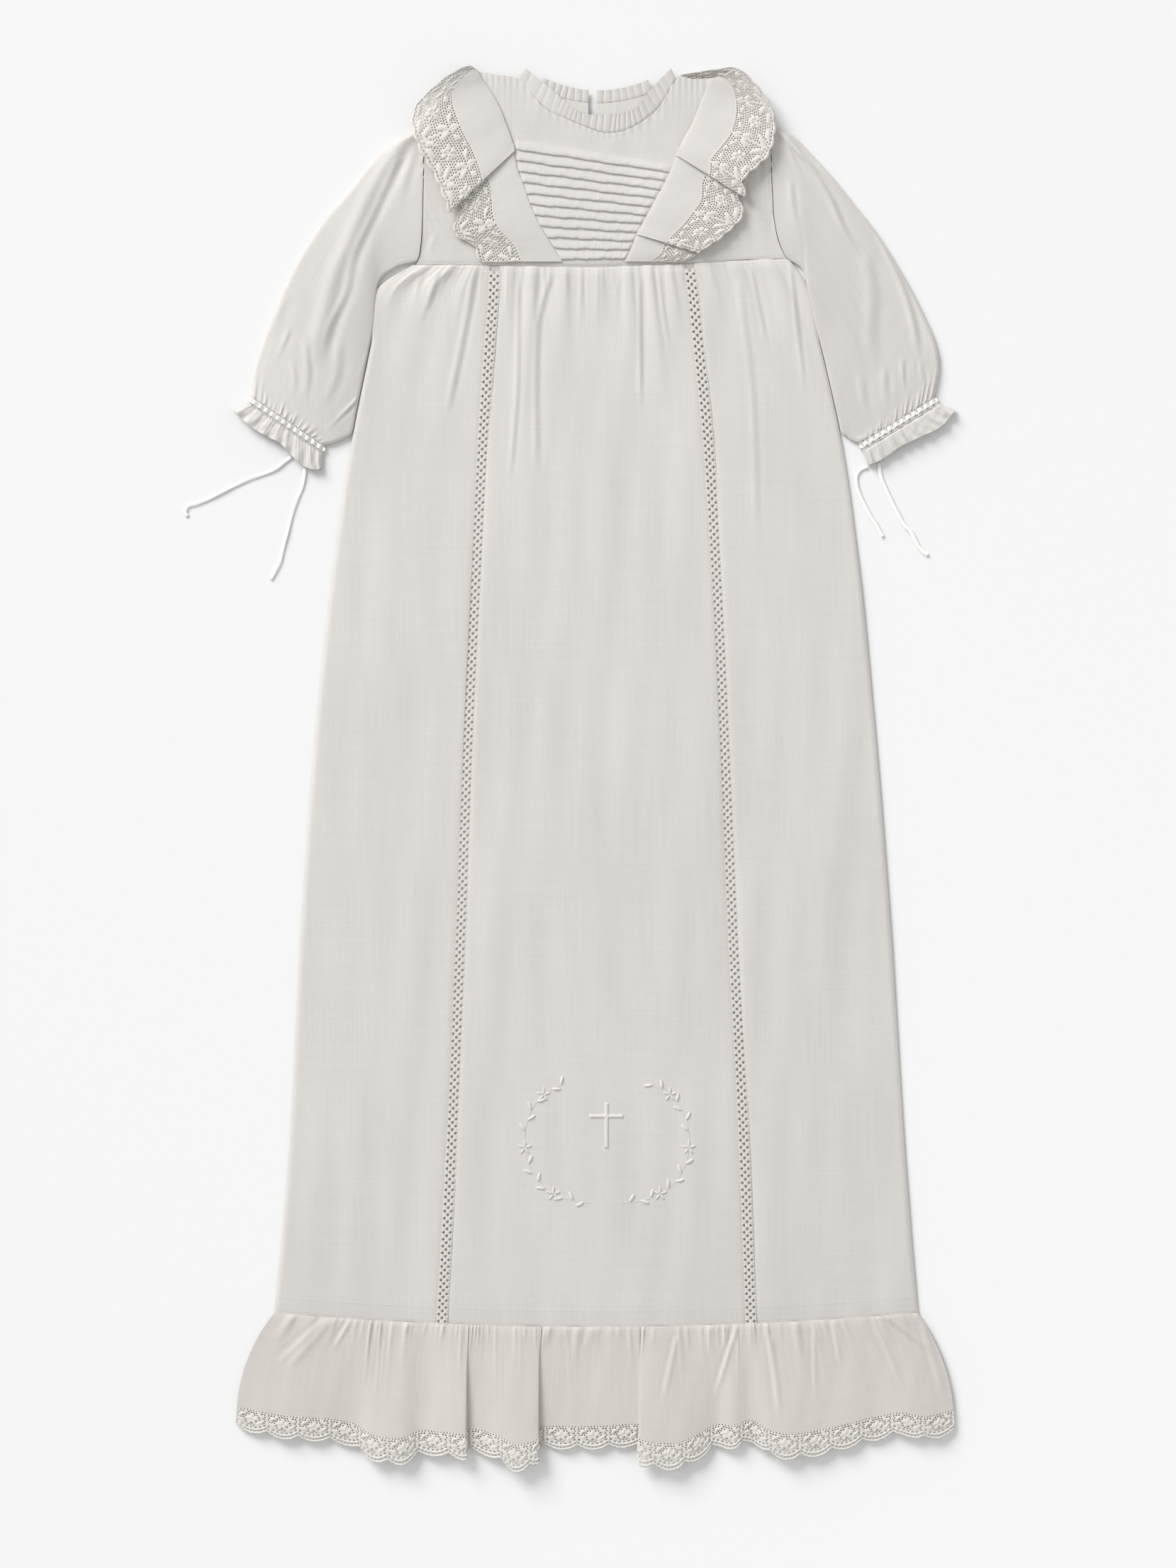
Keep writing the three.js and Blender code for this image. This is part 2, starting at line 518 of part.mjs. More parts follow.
function addGatheredPanel(name, left, right) {
  const [from, to] = [left(SKIRT_TOP), right(SKIRT_TOP)];
  const marks = GATHERS.filter((g) => g.at > from && g.at < to).flatMap((g) => {
    const flank = g.wide * GATHER_FLANK;
    return [g.at - flank, g.at, g.at + flank];
  });
  const inside = marks.filter((x) => x > from + COLUMN_GAP.edge && x < to - COLUMN_GAP.edge);
  const shares = inside.map((x) => (x - from) / (to - from)).sort((a, b) => a - b);
  const across = [0, ...shares, 1].filter((u, i, all) => i === 0 || u - all[i - 1] > COLUMN_GAP.share);
  const plan = skirtPlan(left, right);
  const lifted = (u, level, extra) => {
    const [x, y] = plan(u, level);
    return new THREE.Vector3(x, y, FRONT + gatherHeight(mix(from, to, u), level) + extra);
  };
  addWall({
    name,
    material: cloth,
    across,
    down: SKIRT_LEVELS,
    outer: (u, level) => lifted(u, level, CLOTH),
    inner: (u, level) => lifted(u, level, 0),
  });
}

addPanel({
  name: "skirt_back",
  material: cloth,
  across: steps(6),
  down: SKIRT_LEVELS.filter((level) => !GATHER_LEVELS.includes(level)),
  plan: skirtPlan(sideOf("left"), sideOf("right")),
  base: () => 0,
});
addGatheredPanel("skirt_front_left", sideOf("left"), insertionOf("left", -PANEL_GAP));
addGatheredPanel("skirt_front_centre", insertionOf("left", PANEL_GAP), insertionOf("right", -PANEL_GAP));
addGatheredPanel("skirt_front_right", insertionOf("right", PANEL_GAP), sideOf("right"));
for (const side of ["left", "right"])
  addPanel({
    name: "insertion_" + side,
    material: lace,
    across: [0, 1],
    down: SKIRT_LEVELS,
    plan: skirtPlan(insertionOf(side, -INSERTION_HALF), insertionOf(side, INSERTION_HALF)),
    base: () => FRONT,
  });

// Hem flounce and its lace
const RIB_COUNT = FLOUNCE_RIBS.length - 1;
const flounceColumns = steps(RIB_COUNT * 3).map((t) => t * RIB_COUNT);

function flounceMiddle(place, v) {
  const columns = ["seam", "hem", "foot", "lift"];
  const [seam, hem, foot, lift] = columns.map((key) => along(FLOUNCE_RIBS, key, place));
  const x = mix(seam, hem, 1 - (1 - clamp(v, 0, 1)) ** FLOUNCE_SPREAD);
  const gather = FLOUNCE_GATHER * (0.5 - 0.5 * Math.cos(Math.PI * place)) * (1 - ease(v * 2));
  const height = Math.max(lift, 0.05) * ease(mix(RIB_AT_SEAM, 1, v)) + gather;
  return new THREE.Vector3(x, mix(footAt(seam) - SEAM, foot, v), FRONT + CLOTH / 2 + height);
}

function scallops(columns, edge) {
  const run = [0];
  for (let i = 1; i < columns.length; i += 1)
    run.push(run[i - 1] + edge(columns[i]).distanceTo(edge(columns[i - 1])));
  const count = Math.round(run.at(-1) / LACE_SCALLOP.pitch);
  return new Map(columns.map((u, i) => [u, Math.abs(Math.sin((Math.PI * count * run[i]) / run.at(-1)))]));
}

const laceGap = SEAM / 90; // the seam gap as a share of the flounce's depth
addSheet({
  name: "flounce_front",
  material: cloth,
  across: flounceColumns,
  down: [0, ...FLOUNCE_LEVELS, LACE_FROM - laceGap],
  thick: CLOTH,
  seams: [0, LACE_FROM - laceGap],
  middle: flounceMiddle,
});
const frontScallop = scallops(flounceColumns, (u) => flounceMiddle(u, 1));
addSheet({
  name: "hem_lace_front",
  material: lace,
  across: flounceColumns,
  down: [LACE_FROM, 0.9, 1],
  thick: CLOTH,
  seams: [LACE_FROM],
  middle: (place, v) => {
    const p = flounceMiddle(place, v);
    const nearest = flounceColumns.reduce((a, b) => (Math.abs(b - place) < Math.abs(a - place) ? b : a));
    p.y += v > 0.95 ? LACE_SCALLOP.deep * (1 - frontScallop.get(nearest)) : 0;
    return p;
  },
});

const backFoot = (x) => BACK_HEM.foot + BACK_HEM.rise * (x / BACK_HEM.halfWidth) ** 2;
function backFlouncePlan(u, v) {
  const [seam, hem] = [mix(...BACK_HEM.seam, u), mix(...BACK_HEM.hem, u)];
  const x = mix(seam, hem, 1 - (1 - v) ** FLOUNCE_SPREAD);
  return [x, mix(footAt(seam) - SEAM, backFoot(x), v)];
}
addPanel({
  name: "flounce_back",
  material: cloth,
  across: steps(8),
  down: [0, ...FLOUNCE_LEVELS, LACE_FROM - laceGap * 2],
  plan: backFlouncePlan,
  base: () => 0,
});
addPanel({
  name: "hem_lace_back",
  material: lace,
  across: steps(8),
  down: [LACE_FROM, 1],
  plan: backFlouncePlan,
  base: () => 0,
});

// Yoke
const seamX = (side, y) => lookup(CENTRE_SEAMS[side], "y", "x", y);
const armX = (side, y) => lookup(ARMHOLES, "y", side, y);

function addYokeCentre() {
  const tuck = (k) => [TUCKS.leftTop - TUCKS.leftPitch * k, TUCKS.rightTop - TUCKS.rightPitch * k];
  const rows = [{ left: TUCKS.leftTop + TUCK_HEADROOM, right: TUCKS.rightTop + TUCK_HEADROOM, height: 0 }];
  for (let k = 0; k < TUCKS.count; k += 1) {
    const [left, right] = tuck(k);
    rows.push({ left, right, height: TUCKS.drop });
    rows.push({ left: left - TUCKS.step, right: right - TUCKS.step, height: 0 });
  }
  rows.push({ left: SKIRT_TOP + 2 * SEAM, right: SKIRT_TOP + 2 * SEAM, height: 0 });
  const [leftTip, rightTip] = [CENTRE_SEAMS.left.at(-1), CENTRE_SEAMS.right.at(-1)];
  const half = (a, b) => ({ x: mix(a.x, b.x, 0.5), y: mix(a.y, b.y, 0.5) });
  const top = [
    leftTip,
    half(leftTip, NECK_EDGE[0]),
    ...NECK_EDGE,
    half(NECK_EDGE.at(-1), rightTip),
    rightTip,
  ];
  const share = top.map((p) => (p.x - leftTip.x) / (rightTip.x - leftTip.x));
  const straight = (row, i) => {
    const [a, b] = [seamX("left", row.left), seamX("right", row.right)];
    const x = mix(a, b, share[i]);
    const y = mix(row.left, row.right, share[i]);
    const waist = row === rows.at(-1) ? waistAt(x) - SKIRT_TOP : 0;
    return [x, y + waist, row.height];
  };
  const shaped = (w, i) => {
    const [x0, y0] = straight(rows[0], i);
    const bow = (side, tip, from) => {
      const y = mix(from, tip.y, w);
      return seamX(side, y) - mix(seamX(side, from), tip.x, w);
    };
    const [left, right] = [bow("left", leftTip, rows[0].left), bow("right", rightTip, rows[0].right)];
    const x = mix(x0, top[i].x, w) + left * (1 - share[i]) ** 3 + right * share[i] ** 3;
    return [x, mix(y0, top[i].y, w), 0];
  };
  const levels = NECK_SHARES.map((w) => ({ w })).concat(rows);
  const place = (i, j) => (levels[j].w ? shaped(levels[j].w, i) : straight(levels[j], i));
  const face = (thick) => (i, j) => {
    const [x, y, height] = place(i, j);
    return new THREE.Vector3(x, y, FRONT + rise(y) + (thick ? CLOTH + height : 0));
  };
  addWall({
    name: "yoke_front_centre",
    material: cloth,
    across: top.map((_, i) => i),
    down: levels.map((_, j) => j),
    outer: face(true),
    inner: face(false),
  });
}
addYokeCentre();

for (const side of ["left", "right"]) {
  const way = side === "left" ? -1 : 1;
  const tip = CENTRE_SEAMS[side].at(-1);
  const shoulder = (y) => Math.max((y - SHOULDER_END) / (tip.y + 2 - SHOULDER_END), 0);
  const outerX = (y) => mix(armX(side, y), tip.x, shoulder(y));
  addPanel({
    name: "yoke_front_" + side,
    material: cloth,
    across: [0, 0.5, 1],
    down: [...CENTRE_SEAMS[side], ...ARMHOLES.slice(1)].map((row) => row.y).sort((a, b) => a - b),
    plan: (u, y) => {
      const x = mix(seamX(side, y) + 2 * SEAM * way, outerX(y), u);
      return [x, y < SKIRT_TOP + 1 ? waistAt(x) + 2 * SEAM : y];
    },
    base: (x, y) => FRONT + rise(y),
  });
}

const backNeck = (x) => BACK_NECK.low + BACK_NECK.rise * ((x - BACK_NECK.middle) / BACK_NECK.halfWidth) ** 2;
for (const side of ["left", "right"]) {
  const way = side === "left" ? -1 : 1;
  const top = BACK_TOPS[side].map(([x, y]) => [x, y ?? backNeck(x)]);
  const inner = top.at(-1)[0];
  const closed = BACK_SLIT.middle + (way * SEAM) / 2;
  const opening = (y) => mix(closed, inner, ease((y - BACK_SLIT.foot) / BACK_SLIT.over));
  addPanel({
    name: "yoke_back_" + side,
    material: cloth,
    across: top.map((_, i) => i),
    down: BACK_LEVELS,
    plan: (i, w) => {
      const share = (top[i][0] - top[0][0]) / (inner - top[0][0]);
      const y = mix(SKIRT_TOP + 0.8, top[i][1], w);
      const x = mix(armX(side, y), opening(y), share);
      return [mix(x, top[i][0], ease(mix(1, w, BACK_FAN))), w ? y : waistAt(x) + 2 * SEAM];
    },
    base: (x, y) => rise(y),
  });
}

const button = new THREE.CylinderGeometry(BACK_BUTTON.radius, BACK_BUTTON.radius, CLOTH, BACK_BUTTON.sides);
button.rotateX(Math.PI / 2).translate(BACK_BUTTON.x, BACK_BUTTON.y, CLOTH / 2);
addMesh("back_button", pearl, button);

// Shoulder flounces
for (const [side, rows] of [["left", FLOUNCE_LEFT], ["right", FLOUNCE_RIGHT]]) {
  const middle = (place, v) => {
    const names = ["x", "y", "edgeX", "edgeY", "lift"];
    const [x, y, edgeX, edgeY, lift] = names.map((key) => along(rows, key, place));
    const height = Math.max(lift, 0) * mix(FLOUNCE_SEAM_LIFT, 1, v ** 0.8);
    const p = new THREE.Vector3(mix(x, edgeX, v), mix(y, edgeY, v), 0);
    p.z = FRONT + LAYER + rise(mix(y, edgeY, v)) + TRIM / 2 + height;
    return p;
  };
  const columns = steps((rows.length - 1) * 2).map((t) => t * (rows.length - 1));
  const shared = { across: columns, thick: TRIM, middle };
  addSheet({
    ...shared,
    name: "bertha_" + side,
    material: cloth,
    down: [...BERTHA_SPOKES.cloth, BERTHA_LACE_FROM],
  });
  addSheet({
    ...shared,
    name: "bertha_lace_" + side,
    material: lace,
    down: [BERTHA_LACE_FROM + BERTHA_SPOKES.gap, ...BERTHA_SPOKES.lace],
  });
}
for (const side of ["left", "right"]) {
  const rows = BACK_FLOUNCES[side];
  const plan = (i, v) => [mix(rows[i].x, rows[i].edgeX, v), mix(rows[i].y, rows[i].edgeY, v)];
  const shared = { across: rows.map((_, i) => i), plan, base: () => 0 };
  addPanel({ ...shared, name: "bertha_back_" + side, material: cloth, down: [0, BERTHA_LACE_FROM] });
  const laceStart = BERTHA_LACE_FROM + BERTHA_SPOKES.gap;
  addPanel({ ...shared, name: "bertha_lace_back_" + side, material: lace, down: [laceStart, 1] });
}

// Neck frills
const NECK_SPANS = NECK_EDGE.length - 1;
addSheet({
  name: "neck_frill_front",
  material: cloth,
  across: steps(FRONT_PLEATS * 3).map((t) => t * NECK_SPANS),
  down: [0.03, 0.45, 1],
  thick: TRIM,
  seams: [0.03],
  middle: (place, v) => {
    const x = mix(between(NECK_EDGE, "x", place), along(NECK_EDGE, "freeX", place), v);
    const y = mix(between(NECK_EDGE, "y", place), along(NECK_EDGE, "freeY", place), v);
    const wave = 0.5 - 0.5 * Math.cos((2 * Math.PI * FRONT_PLEATS * place) / NECK_SPANS);
    return new THREE.Vector3(x, y, FRONT_FRILL.height + FRONT_FRILL.wave * wave * mix(0.3, 1, v));
  },
});
for (const [side, from, to] of [
  ["left", BACK_SLIT.left, -BACK_FRILL.reach],
  ["right", BACK_SLIT.right, BACK_FRILL.reach],
])
  addSheet({
    name: "neck_frill_back_" + side,
    material: cloth,
    across: steps(BACK_PLEATS * 4),
    down: [0.09, 0.5, 1],
    thick: TRIM,
    seams: [0.09],
    middle: (u, v) => {
      const x = mix(from, to, u);
      const wave = Math.sin(2 * Math.PI * BACK_PLEATS * u) * mix(0.4, 1, v);
      const y = backNeck(x) + BACK_FRILL.deep * v;
      return new THREE.Vector3(mix(x, x * 0.93, v), y, BACK_FRILL.height + BACK_FRILL.wave * wave);
    },
  });

// Sleeves, beading bands and cuff frills
// A ring of a flattened tube: its points around, each with its share across the tube and its two heights.
function ringPoints(columns, under) {
  const ring = [];
  const edge = (end, angle) => ring.push({ end, angle: (angle * Math.PI) / 180 });
  for (const angle of [-90, -135, 180, 135, 90]) edge(0, angle);
  for (let i = 1; i <= columns; i += 1) ring.push({ top: i / (columns + 1) });
  for (const angle of [90, 45, 0, -45, -90]) edge(1, angle);
  for (let i = under; i >= 1; i -= 1) ring.push({ bottom: i / (under + 1) });
  return ring;
}

// One point of a ring: line(t) is the ring seen from above and topAt(t) the height of its upper face.
function onRing(point, line, topAt, radius) {
  const span = line(0).distanceTo(line(1));
  if (point.angle === undefined) {
    const t = point.top ?? point.bottom;
    const p = line(mix(TUBE_EDGE / span, 1 - TUBE_EDGE / span, t));
    const shell = TUBE_EDGE - radius;
    p.z = point.top ? 2 * TUBE_EDGE + topAt(t) - shell : shell;
    return p;
  }
  const inset = TUBE_EDGE - Math.abs(Math.cos(point.angle)) * radius;
  const p = line(point.end ? 1 - inset / span : inset / span);
  p.z = TUBE_EDGE + Math.sin(point.angle) * radius;
  return p;
}

function addTube({ name, material, columns, under = 2, stations }) {
  const ring = ringPoints(columns, under);
  const face = (radius) => (i, j) => onRing(ring[i], stations[j].line, stations[j].topAt, radius);
  addWall({
    name,
    material,
    across: ring.map((_, i) => i),
    down: stations.map((_, j) => j),
    outer: face(TUBE_EDGE),
    inner: face(TUBE_EDGE - CLOTH),
    round: true,
  });
}

const domeAt = (dome, t) => dome * Math.sin(Math.PI * clamp(t, 0, 1)) ** 0.7;
const straightLine = (row) => (t) =>
  new THREE.Vector3(mix(row.outX, row.inX, t), mix(row.outY, row.inY, t), 0);

// Moves the line across a tube on by a gap, square to itself and away from the line before it.
function shifted(row, before, gap) {
  const way = new THREE.Vector2(row.inY - row.outY, row.outX - row.inX).normalize();
  const ahead = new THREE.Vector2(row.outX + row.inX, row.outY + row.inY);
  ahead.sub(new THREE.Vector2(before.outX + before.inX, before.outY + before.inY));
  if (way.dot(ahead) < 0) way.negate();
  way.multiplyScalar(gap);
  return { outX: row.outX + way.x, outY: row.outY + way.y, inX: row.inX + way.x, inY: row.inY + way.y };
}

for (const side of ["left", "right"]) {
  const way = side === "left" ? -1 : 1;
  const rows = SLEEVES[side];
  const folds = (t, j) =>
    SLEEVE_FOLDS[side].reduce((sum, fold) => {
      const mid = (fold.from + fold.to) / 2;
      return sum + fold.tall * bump((t - fold.at) / fold.wide) * bump((j - mid) / (mid - fold.from + 1));
    }, 0);
  const armholeLine = (row) => (t) => {
    const p = straightLine(row)(t);
    p.x = armX(side, p.y) + way * ARMHOLE_GAP;
    return p;
  };
  addTube({
    name: "sleeve_" + side,
    material: cloth,
    columns: SLEEVE_COLUMNS,
    stations: rows.map((row, j) => ({
      line: j ? straightLine(row) : armholeLine(row),
      topAt: (t) => domeAt(row.dome, t) + folds(t, j),
    })),
  });
  const [cuff, band] = [rows.at(-1), BAND_ENDS[side]];
  const bandTop = (t) => domeAt(BAND_DOME, t);
  addTube({
    name: "sleeve_band_" + side,
    material: lace,
    columns: BAND_COLUMNS,
    stations: [shifted(cuff, rows.at(-2), SEAM), band].map((row) => ({
      line: straightLine(row),
      topAt: bandTop,
    })),
  });
  const start = shifted(band, cuff, SEAM);
  const ends = CUFF_ENDS[side];
  const endLine = (t) => {
    const place = t * (ends.length - 1);
    return new THREE.Vector3(along(ends, "x", place), along(ends, "y", place), 0);
  };
  const frillLine = (w) => (t) => straightLine(start)(t).lerp(endLine(t), w);
  const wave = (t) => CUFF_WAVE * (0.5 - 0.5 * Math.cos(2 * Math.PI * CUFF_WAVES * t));
  const frillTop = (t, w) => domeAt(CUFF_DOME, t) + wave(t) * mix(0.3, 1, w);
  addTube({
    name: "cuff_frill_" + side,
    material: cloth,
    columns: CUFF_WAVES * 3 - 1,
    under: CUFF_WAVES - 1,
    stations: [0, 0.5, 1].map((w) => ({ line: frillLine(w), topAt: (t) => frillTop(t, w) })),
  });
}

// Ribbon ends
const ribbonSection = new THREE.Shape(
  Array.from({ length: 8 }, (_, i) => {
    const angle = ((i + 0.5) * Math.PI) / 4;
    const square = (value) => Math.sign(value) * Math.abs(value) ** 0.5;
    const [x, y] = [square(Math.sin(angle)) * RIBBON.thick, square(Math.cos(angle)) * RIBBON.wide];
    return new THREE.Vector2(x / 2, y / 2);
  }),
);
for (const [name, points] of Object.entries(RIBBONS)) {
  const path = new THREE.CatmullRomCurve3(points.map(([x, y]) => new THREE.Vector3(x, y, RIBBON.height)));
  const shape = new THREE.ExtrudeGeometry(ribbonSection, {
    extrudePath: path,
    steps: Math.round(path.getLength() / RIBBON.step),
  });
  addMesh(name, satin, shape);
}

export default gown;
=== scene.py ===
"""A baby's christening gown in cotton lawn and lace, lying flat on its back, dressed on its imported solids.

The frame is in metres: +Y runs from the hem to the neck, +X to the right as seen from above, and +Z up.
Cloth shapes below are worked out in millimetres, and become metres where a mesh is made.
"""
import math

import bmesh
import bpy
import numpy as np
from mathutils.geometry import delaunay_2d_cdt
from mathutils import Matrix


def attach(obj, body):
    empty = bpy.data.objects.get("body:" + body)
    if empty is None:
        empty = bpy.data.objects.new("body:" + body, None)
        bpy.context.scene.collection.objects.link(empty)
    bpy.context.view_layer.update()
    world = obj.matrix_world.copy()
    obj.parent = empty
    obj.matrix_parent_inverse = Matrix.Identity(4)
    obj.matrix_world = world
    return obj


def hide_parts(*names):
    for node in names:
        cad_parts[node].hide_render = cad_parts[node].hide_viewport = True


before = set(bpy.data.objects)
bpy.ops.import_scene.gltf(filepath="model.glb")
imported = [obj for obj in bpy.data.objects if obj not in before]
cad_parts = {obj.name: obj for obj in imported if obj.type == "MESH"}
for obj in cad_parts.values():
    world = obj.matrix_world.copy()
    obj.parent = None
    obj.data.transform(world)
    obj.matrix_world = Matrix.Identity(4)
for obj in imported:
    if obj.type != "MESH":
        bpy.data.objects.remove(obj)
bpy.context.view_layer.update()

# Camera. It looks straight down on the gown, as the photo does. The photo is upright, so that the sensor's
# width lies along its height, and it takes in 1106 mm by 829.5 mm at the height of the cloth.
VIEW_HIGH = 1.106
CAMERA_RISE = 2.4
CLOTH_LEVEL = 0.003
lens = bpy.data.cameras.new("camera")
lens.sensor_width = 36
lens.lens = lens.sensor_width * CAMERA_RISE / VIEW_HIGH
camera = bpy.data.objects.new("camera", lens)
camera.location = (-0.00525, -0.01025, CAMERA_RISE + CLOTH_LEVEL)
bpy.context.scene.collection.objects.link(camera)
bpy.context.scene.camera = camera

# Ribbon ends. The drawstring of each cuff is a white satin ribbon 2.6 mm wide. Its two ends come out under
# the cuff's frill and lie loose on the surface, in the curves that they fell in.
RIBBON_WIDE, RIBBON_THICK, RIBBON_HEIGHT = 0.0026, 0.0004, 0.0005
RIBBON_STEP = 0.0008
RIBBON_ROLL, RIBBON_ROLL_RUN = 0.16, 0.045
RIBBON_SECTION = [
    (-0.5, -0.3), (-0.25, -0.5), (0.25, -0.5), (0.5, -0.3), (0.5, 0.3), (0.25, 0.5), (-0.25, 0.5),
    (-0.5, 0.3),
]
RIBBONS = {
    "ribbon_left_outer": [
        (-0.2146, 0.2207), (-0.219, 0.2179), (-0.2255, 0.2128), (-0.2345, 0.2088), (-0.242, 0.2062),
        (-0.25, 0.2028), (-0.257, 0.1996), (-0.265, 0.1956), (-0.273, 0.1914), (-0.281, 0.188),
        (-0.2886, 0.185), (-0.2896, 0.181), (-0.288, 0.1788),
    ],
    "ribbon_left_inner": [
        (-0.2052, 0.2129), (-0.206, 0.206), (-0.2075, 0.1992), (-0.21, 0.1928), (-0.213, 0.1848),
        (-0.2154, 0.177), (-0.2173, 0.1695), (-0.2205, 0.1572), (-0.2235, 0.145), (-0.2264, 0.1396),
        (-0.2295, 0.1342),
    ],
    "ribbon_right_inner": [
        (0.1922, 0.2141), (0.187, 0.2118), (0.1842, 0.207), (0.1846, 0.2006), (0.1875, 0.1918),
        (0.191, 0.1846), (0.1944, 0.1782), (0.1984, 0.1724), (0.201, 0.1676), (0.203, 0.1642),
    ],
    "ribbon_right_outer": [
        (0.2, 0.217), (0.2006, 0.212), (0.2012, 0.2086), (0.2048, 0.1988), (0.2076, 0.1924),
        (0.21, 0.1872), (0.2132, 0.1812), (0.2162, 0.1756), (0.2192, 0.1712), (0.222, 0.1688),
        (0.2254, 0.163), (0.2284, 0.1572), (0.2316, 0.1536), (0.2346, 0.1512),
    ],
}


class Wire:
    """A socket in a tree of nodes. Sums written with it add the Math nodes."""

    def __init__(self, nodes, socket):
        self.nodes, self.socket = nodes, socket

    def other(self, key):
        """Another socket of the same node."""
        return Wire(self.nodes, self.socket.node.outputs[key])

    def sum(self, operation, first, second=0.0):
        return self.nodes.node("ShaderNodeMath", {"operation": operation}, {0: first, 1: second})

    def __add__(self, other):
        return self.sum("ADD", self, other)

    def __sub__(self, other):
        return self.sum("SUBTRACT", self, other)

    def __rsub__(self, other):
        return self.sum("SUBTRACT", other, self)

    def __mul__(self, other):
        return self.sum("MULTIPLY", self, other)

    def __truediv__(self, other):
        return self.sum("DIVIDE", self, other)

    def __pow__(self, other):
        return self.sum("POWER", self, other)

    __radd__, __rmul__ = __add__, __mul__

    def sine(self):
        return self.sum("SINE", self)


class Nodes:
    """A tree of nodes in the making."""

    def __init__(self, tree):
        self.tree = tree

    def node(self, kind, settings=None, feeds=None, out=0):
        made = self.tree.nodes.new(kind)
        for key, value in (settings or {}).items():
            setattr(made, key, value)
        for key, value in (feeds or {}).items():
            self.feed(made.inputs[key], value)
        return Wire(self, made.outputs[out])

    def feed(self, socket, value):
        if isinstance(value, Wire):
            self.tree.links.new(value.socket, socket)
        else:
            socket.default_value = value


class Finish(Nodes):
    """A material in the making. Whatever is the same all over it is set straight on its shader."""

    def __init__(self, name, **on_shader):
        self.material = bpy.data.materials.new(name)
        self.material.use_nodes = True
        super().__init__(self.material.node_tree)
        self.shader = self.tree.nodes["Principled BSDF"]
        for key, value in on_shader.items():
            self.shader.inputs[key.replace("_", " ")].default_value = value

    def place(self, scale, along_cloth=True):
        """Where a pattern is read: along the cloth's own threads, or in the object's space, in metres."""
        if along_cloth:
            where = self.node("ShaderNodeUVMap", {"uv_map": "cloth"})
        else:
            where = self.node("ShaderNodeTexCoord", out="Object")
        return self.node("ShaderNodeMapping", {"vector_type": "POINT"}, {"Vector": where, "Scale": scale})

    def noise(self, scale, detail=2.0, along_cloth=True):
        where = self.place(scale, along_cloth)
        return self.node("ShaderNodeTexNoise", {}, {"Vector": where, "Scale": 1.0, "Detail": detail})

    def blend(self, share, first, second):
        """One colour turning to another as share goes from 0 to 1."""
        return self.node("ShaderNodeMix", {"data_type": "RGBA"}, {0: share, 6: first, 7: second}, out=2)

    def relief(self, height, deep):
        """A fine relief, `deep` metres from its hollows to its tops."""
        bump = self.node("ShaderNodeBump", {}, {"Height": height, "Strength": 1.0, "Distance": deep})
        self.feed(self.shader.inputs["Normal"], bump)


def colour(red, green, blue):
    """A colour as a screen shows it, from 0 to 255, in the linear numbers of a material."""
    shares = np.array([red, green, blue]) / 255
    return (*np.where(shares < 0.04045, shares / 12.92, ((shares + 0.055) / 1.055) ** 2.4), 1.0)


def satin():
    """White satin ribbon: floats of silk along it give a soft gloss, with fine lengthwise lines."""
    ribbon = Finish("satin", Roughness=0.42, Sheen_Weight=0.3, Specular_IOR_Level=0.45)
    lines = ribbon.noise((6000, 90, 1))
    tint = ribbon.blend(lines, colour(238, 236, 232), colour(250, 249, 247))
    ribbon.feed(ribbon.shader.inputs["Base Color"], tint)
    ribbon.relief(lines, 0.00004)
    return ribbon.material


def smooth(at, xs, ys):
    """The smooth curve through the points (xs, ys), where xs rises."""
    xs, ys = np.asarray(xs, float), np.asarray(ys, float)
    slope = np.gradient(ys, xs)
    i = np.clip(np.searchsorted(xs, at, side="right") - 1, 0, len(xs) - 2)
    gap = xs[i + 1] - xs[i]
    t = np.clip((at - xs[i]) / gap, 0, 1)
    first = (1 + 2 * t) * (1 - t) ** 2 * ys[i] + t * (1 - t) ** 2 * gap * slope[i]
    return first + t * t * (3 - 2 * t) * ys[i + 1] - t * t * (1 - t) * gap * slope[i + 1]


def make_piece(name, points, faces, flat, material=None):
    """A mesh object in the frame, with its cloth's flat coordinates, in metres, as its UV map."""
    mesh = bpy.data.meshes.new(name)
    mesh.from_pydata(np.asarray(points).tolist(), [], faces)
    corners = np.empty(len(mesh.loops), np.int32)
    mesh.loops.foreach_get("vertex_index", corners)
    layer = mesh.uv_layers.new(name="cloth")
    layer.data.foreach_set("uv", np.asarray(flat, np.float32)[corners].ravel())
    mesh.shade_smooth()
    if material:
        mesh.materials.append(material)
    piece = bpy.data.objects.new(name, mesh)
    bpy.context.scene.collection.objects.link(piece)
    return piece


def settle(piece, slot, *nodes):
    """The piece rides on the gown and stands for its solids, which it hides. The slot is not used."""
    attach(piece, "root")
    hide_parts(*nodes)


def spaced(points, step):
    """Points at an even distance along the smooth curve through some points."""
    points = np.asarray(points, float)
    run = np.r_[0, np.cumsum(np.linalg.norm(np.diff(points, axis=0), axis=1))]
    fine = np.linspace(0, run[-1], 40 * len(points))
    curve = np.stack([smooth(fine, run, column) for column in points.T], axis=1)
    run = np.r_[0, np.cumsum(np.linalg.norm(np.diff(curve, axis=0), axis=1))]
    at = np.linspace(0, run[-1], max(2, round(run[-1] / step) + 1))
    return np.stack([np.interp(at, run, column) for column in curve.T], axis=1), at


